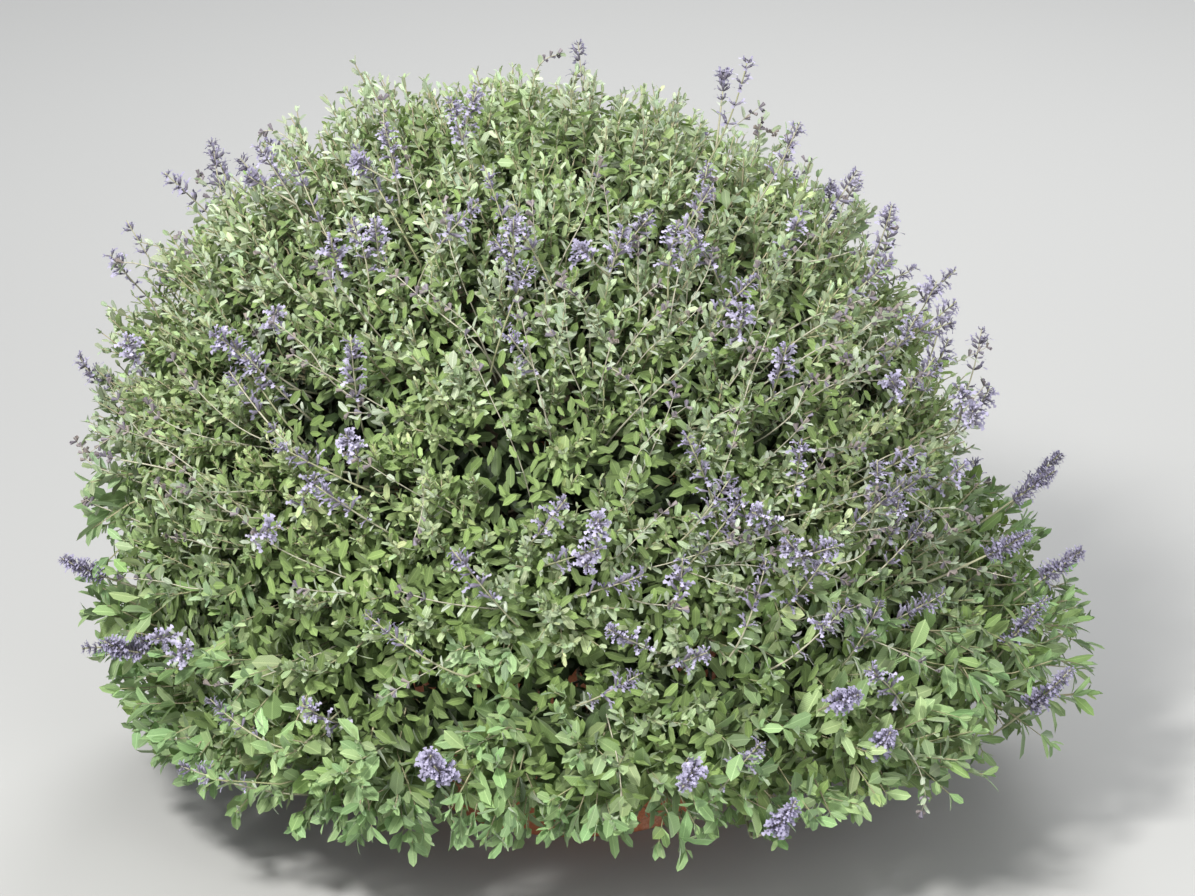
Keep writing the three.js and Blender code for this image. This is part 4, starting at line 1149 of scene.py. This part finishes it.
def make_camera():
    lens, sensor, width = 200, 36, 1.195
    distance = width * lens / sensor * 1.02
    e = math.radians(VIEW_ELEVATION)
    centre_px = (597.5, 448)
    left = (centre_px[0] - PHOTO_AXIS[0]) / 1000
    rise = (PHOTO_AXIS[1] - centre_px[1]) / 1000 / math.cos(e)
    data = bpy.data.cameras.new("camera")
    data.lens, data.sensor_width = lens, sensor
    camera = bpy.data.objects.new("camera", data)
    camera.location = (left, -distance * math.cos(e), rise + distance * math.sin(e))
    camera.rotation_euler = (math.pi / 2 - e, 0, 0)
    bpy.context.scene.collection.objects.link(camera)
    bpy.context.scene.camera = camera


def long_stalks(petal, twig, leaf):
    """Bare tan stalks that run out over the leaves, with a few small leaves and spent flowers."""
    rng = np.random.default_rng(SEED + 9)
    n = LONG_STALKS
    right, front = n * 2 // 5, n // 5
    azimuth = np.concatenate([
        rng.uniform(-88, -25, right), rng.uniform(-150, -80, front), rng.uniform(0, 360, n - right - front),
    ])
    elevation = rng.uniform(-8, 60, n)
    headings = heading_of(azimuth, elevation)
    outward = np.stack([headings[:, 0], np.zeros(n), headings[:, 2] - 0.15], -1)
    way = unit(unit(outward) + UP * 0.25 + rng.normal(0, 0.42, (n, 3)))
    curl = unit(np.cross(headings, way)) * rng.normal(0, 0.22, (n, 1))
    span = rng.uniform(0.16, 0.40, n)
    stops = 12
    lines = []
    phase = rng.uniform(0, 6.3, (2, n))
    for share in np.linspace(0, 1, stops):
        turned = unit(headings + (way + curl * (share + 0.25 * np.sin(phase[0] + 4 * share))[:, None])
                      * (span * share)[:, None])
        height = -0.105 + 0.112 * share ** 0.45 + 0.006 * share ** 3 + bulges(turned)
        height = height + 0.007 * np.sin(phase[1] + 9 * share)
        lines.append(GROWTH_CENTRE + turned * (reach(turned) + height)[:, None])
    lines = np.stack(lines, 1)
    # the outline has corners, so each line is smoothed
    for _ in range(3):
        lines[:, 1:-1] = (lines[:, :-2] + lines[:, 1:-1] * 2 + lines[:, 2:]) / 4
    radii = np.linspace(0.0010, 0.0005, stops)[None] * rng.uniform(0.7, 1.15, (n, 1))
    pile = Pile()
    tint = STALK_TAN * rng.uniform(0.8, 1.15, (n, 1))
    lay_tubes(pile, lines, radii, 4, tint, 1)
    way = unit(np.gradient(lines, axis=1))
    for stop in range(3, stops):
        side = across(way[:, stop])
        turn = rng.uniform(0, 6.3, n)
        for k in range(2):
            out = spin(side, way[:, stop], turn + k * np.pi)
            keep = rng.uniform(size=n) < (0.75 if stop < 9 else 0.4)
            along = unit(out + way[:, stop] * 0.7)[keep]
            size = rng.uniform(0.008, 0.015, n)[keep]
            spot = lines[keep, stop]
            count = keep.sum()
            tint = mixed(np.tile(GREY_GREEN, (count, 1)), DOME_GREEN, rng.uniform(0, 1, count))
            lay_leaves(pile, SMALL_LEAF, spot, along, way[keep, stop] + UP * 0.3, size, size * 0.46,
                       np.full(count, 0.3), np.full(count, 0.1), tint, 2, rng)
    for stop in (9, 10, 11):
        for _ in range(4):
            keep = rng.uniform(size=n) < 0.6
            side = across(way[:, stop])
            out = spin(side, way[:, stop], rng.uniform(0, 6.3, n))
            along = unit(out + way[:, stop] * 0.8)[keep]
            lay_cups(pile, lines[keep, stop], along, rng.uniform(0.005, 0.008, keep.sum()), rng)
    place(pile.build("long_stalks", [petal, twig, leaf]), "bark")


def surface_at(headings):
    return GROWTH_CENTRE + headings * (reach(headings) + bulges(headings))[:, None]


def extra_paths(headings, rng, dense):
    """Paths of the extra flower stalks: out of the foliage at a slant, turning up at the tip."""
    n = len(headings)
    normals = outline_normals(headings)
    stray = unit(rng.normal(size=(n, 3)))
    if dense:
        way = unit(headings * 0.8 + normals * 0.2 + UP * 0.45 + stray * 0.45)
        height = rng.uniform(0.012, 0.028, n)
        length = np.full(n, 0.11)
        sunk = 0.02
    else:
        sideways = across(headings) * rng.choice([-1, 1], (n, 1))
        way = unit(headings * 0.30 + UP * 0.65 + sideways * rng.uniform(0.1, 0.9, (n, 1)) + stray * 0.35)
        height = rng.uniform(0.008, 0.026, n)
        length = rng.uniform(0.085, 0.12, n)
        sunk = 0.04
    tips = surface_at(headings) + normals * height[:, None] + way * 0.01
    bases = tips - way * length[:, None] - normals * sunk
    bends = bases + normals * (length * 0.35)[:, None] + way * (length * 0.25)[:, None]
    return np.stack([bases, bends, tips], 1)


def make_flowers(hubs, petal, twig, leaf):
    rng = np.random.default_rng(SEED + 3)

    def nearest(spot):
        return hubs[np.argmin(((hubs - spot) ** 2).sum(1))]

    for name in sorted(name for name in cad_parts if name.startswith("flower_")):
        pile = Pile()
        path = cad_path(name)
        maker = make_spike if "spike" in name else make_spray
        maker(pile, path, nearest(path[0]), rng)
        side = side_path(name, path) if "spray" in name else None
        if side:
            make_spray(pile, side, side[0], rng, 0.6)
        place(pile.build(name.replace("flower", "bloom"), [petal, twig, leaf]), "flower", name)
    places = seen_at(FRONT_FLOWERS)
    behind = heading_of(rng.uniform(10, 170, BACK_FLOWERS), rng.uniform(-10, 44, BACK_FLOWERS))
    groups = [("front", places, False), ("back", behind, False), ("skirt", seen_at(FRONT_SPIKES), True)]
    for label, headings, dense in groups:
        pile = Pile()
        maker = make_spike if dense else make_spray
        for path in extra_paths(headings, rng, dense):
            maker(pile, path, nearest(path[0]), rng)
        place(pile.build(f"more_flowers_{label}", [petal, twig, leaf]), "flower")


make_camera()
make_stage()
make_lights()

small_leaf = leaf_material("sage_leaf", 0.0004)
broad_leaf = leaf_material("sage_leaf_broad", 0.0008)
twig = twig_material("twig_bark")
petal = petal_material("petal")

rng = np.random.default_rng(SEED)
hubs, owners = hubs_of_branches()
piles = [Pile() for _ in CLUMPS]
grow_shoots(piles, hubs, rng)
fill_inside(piles, rng)
for index, pile in enumerate(piles):
    low = index < CLUMP_RINGS[0][1]
    name = f"leafy_clump_{index + 1:02d}"
    leaf = broad_leaf if low else small_leaf
    piece = pile.build(f"foliage_{index + 1:02d}", [leaf, twig])
    place(piece, "skirt_leaf" if low else "dome_leaf", name)

make_flowers(hubs, petal, twig, small_leaf)
long_stalks(petal, twig, small_leaf)
place(make_branches(hubs, owners, twig, rng), "bark", "woody_crown")
place(make_pot(clay_material()), "clay", "pot")
soil_mix = soil_material()
soil, crumbs = make_soil(soil_mix, rng)
place(soil, "soil", "soil")
place(crumbs, "soil")
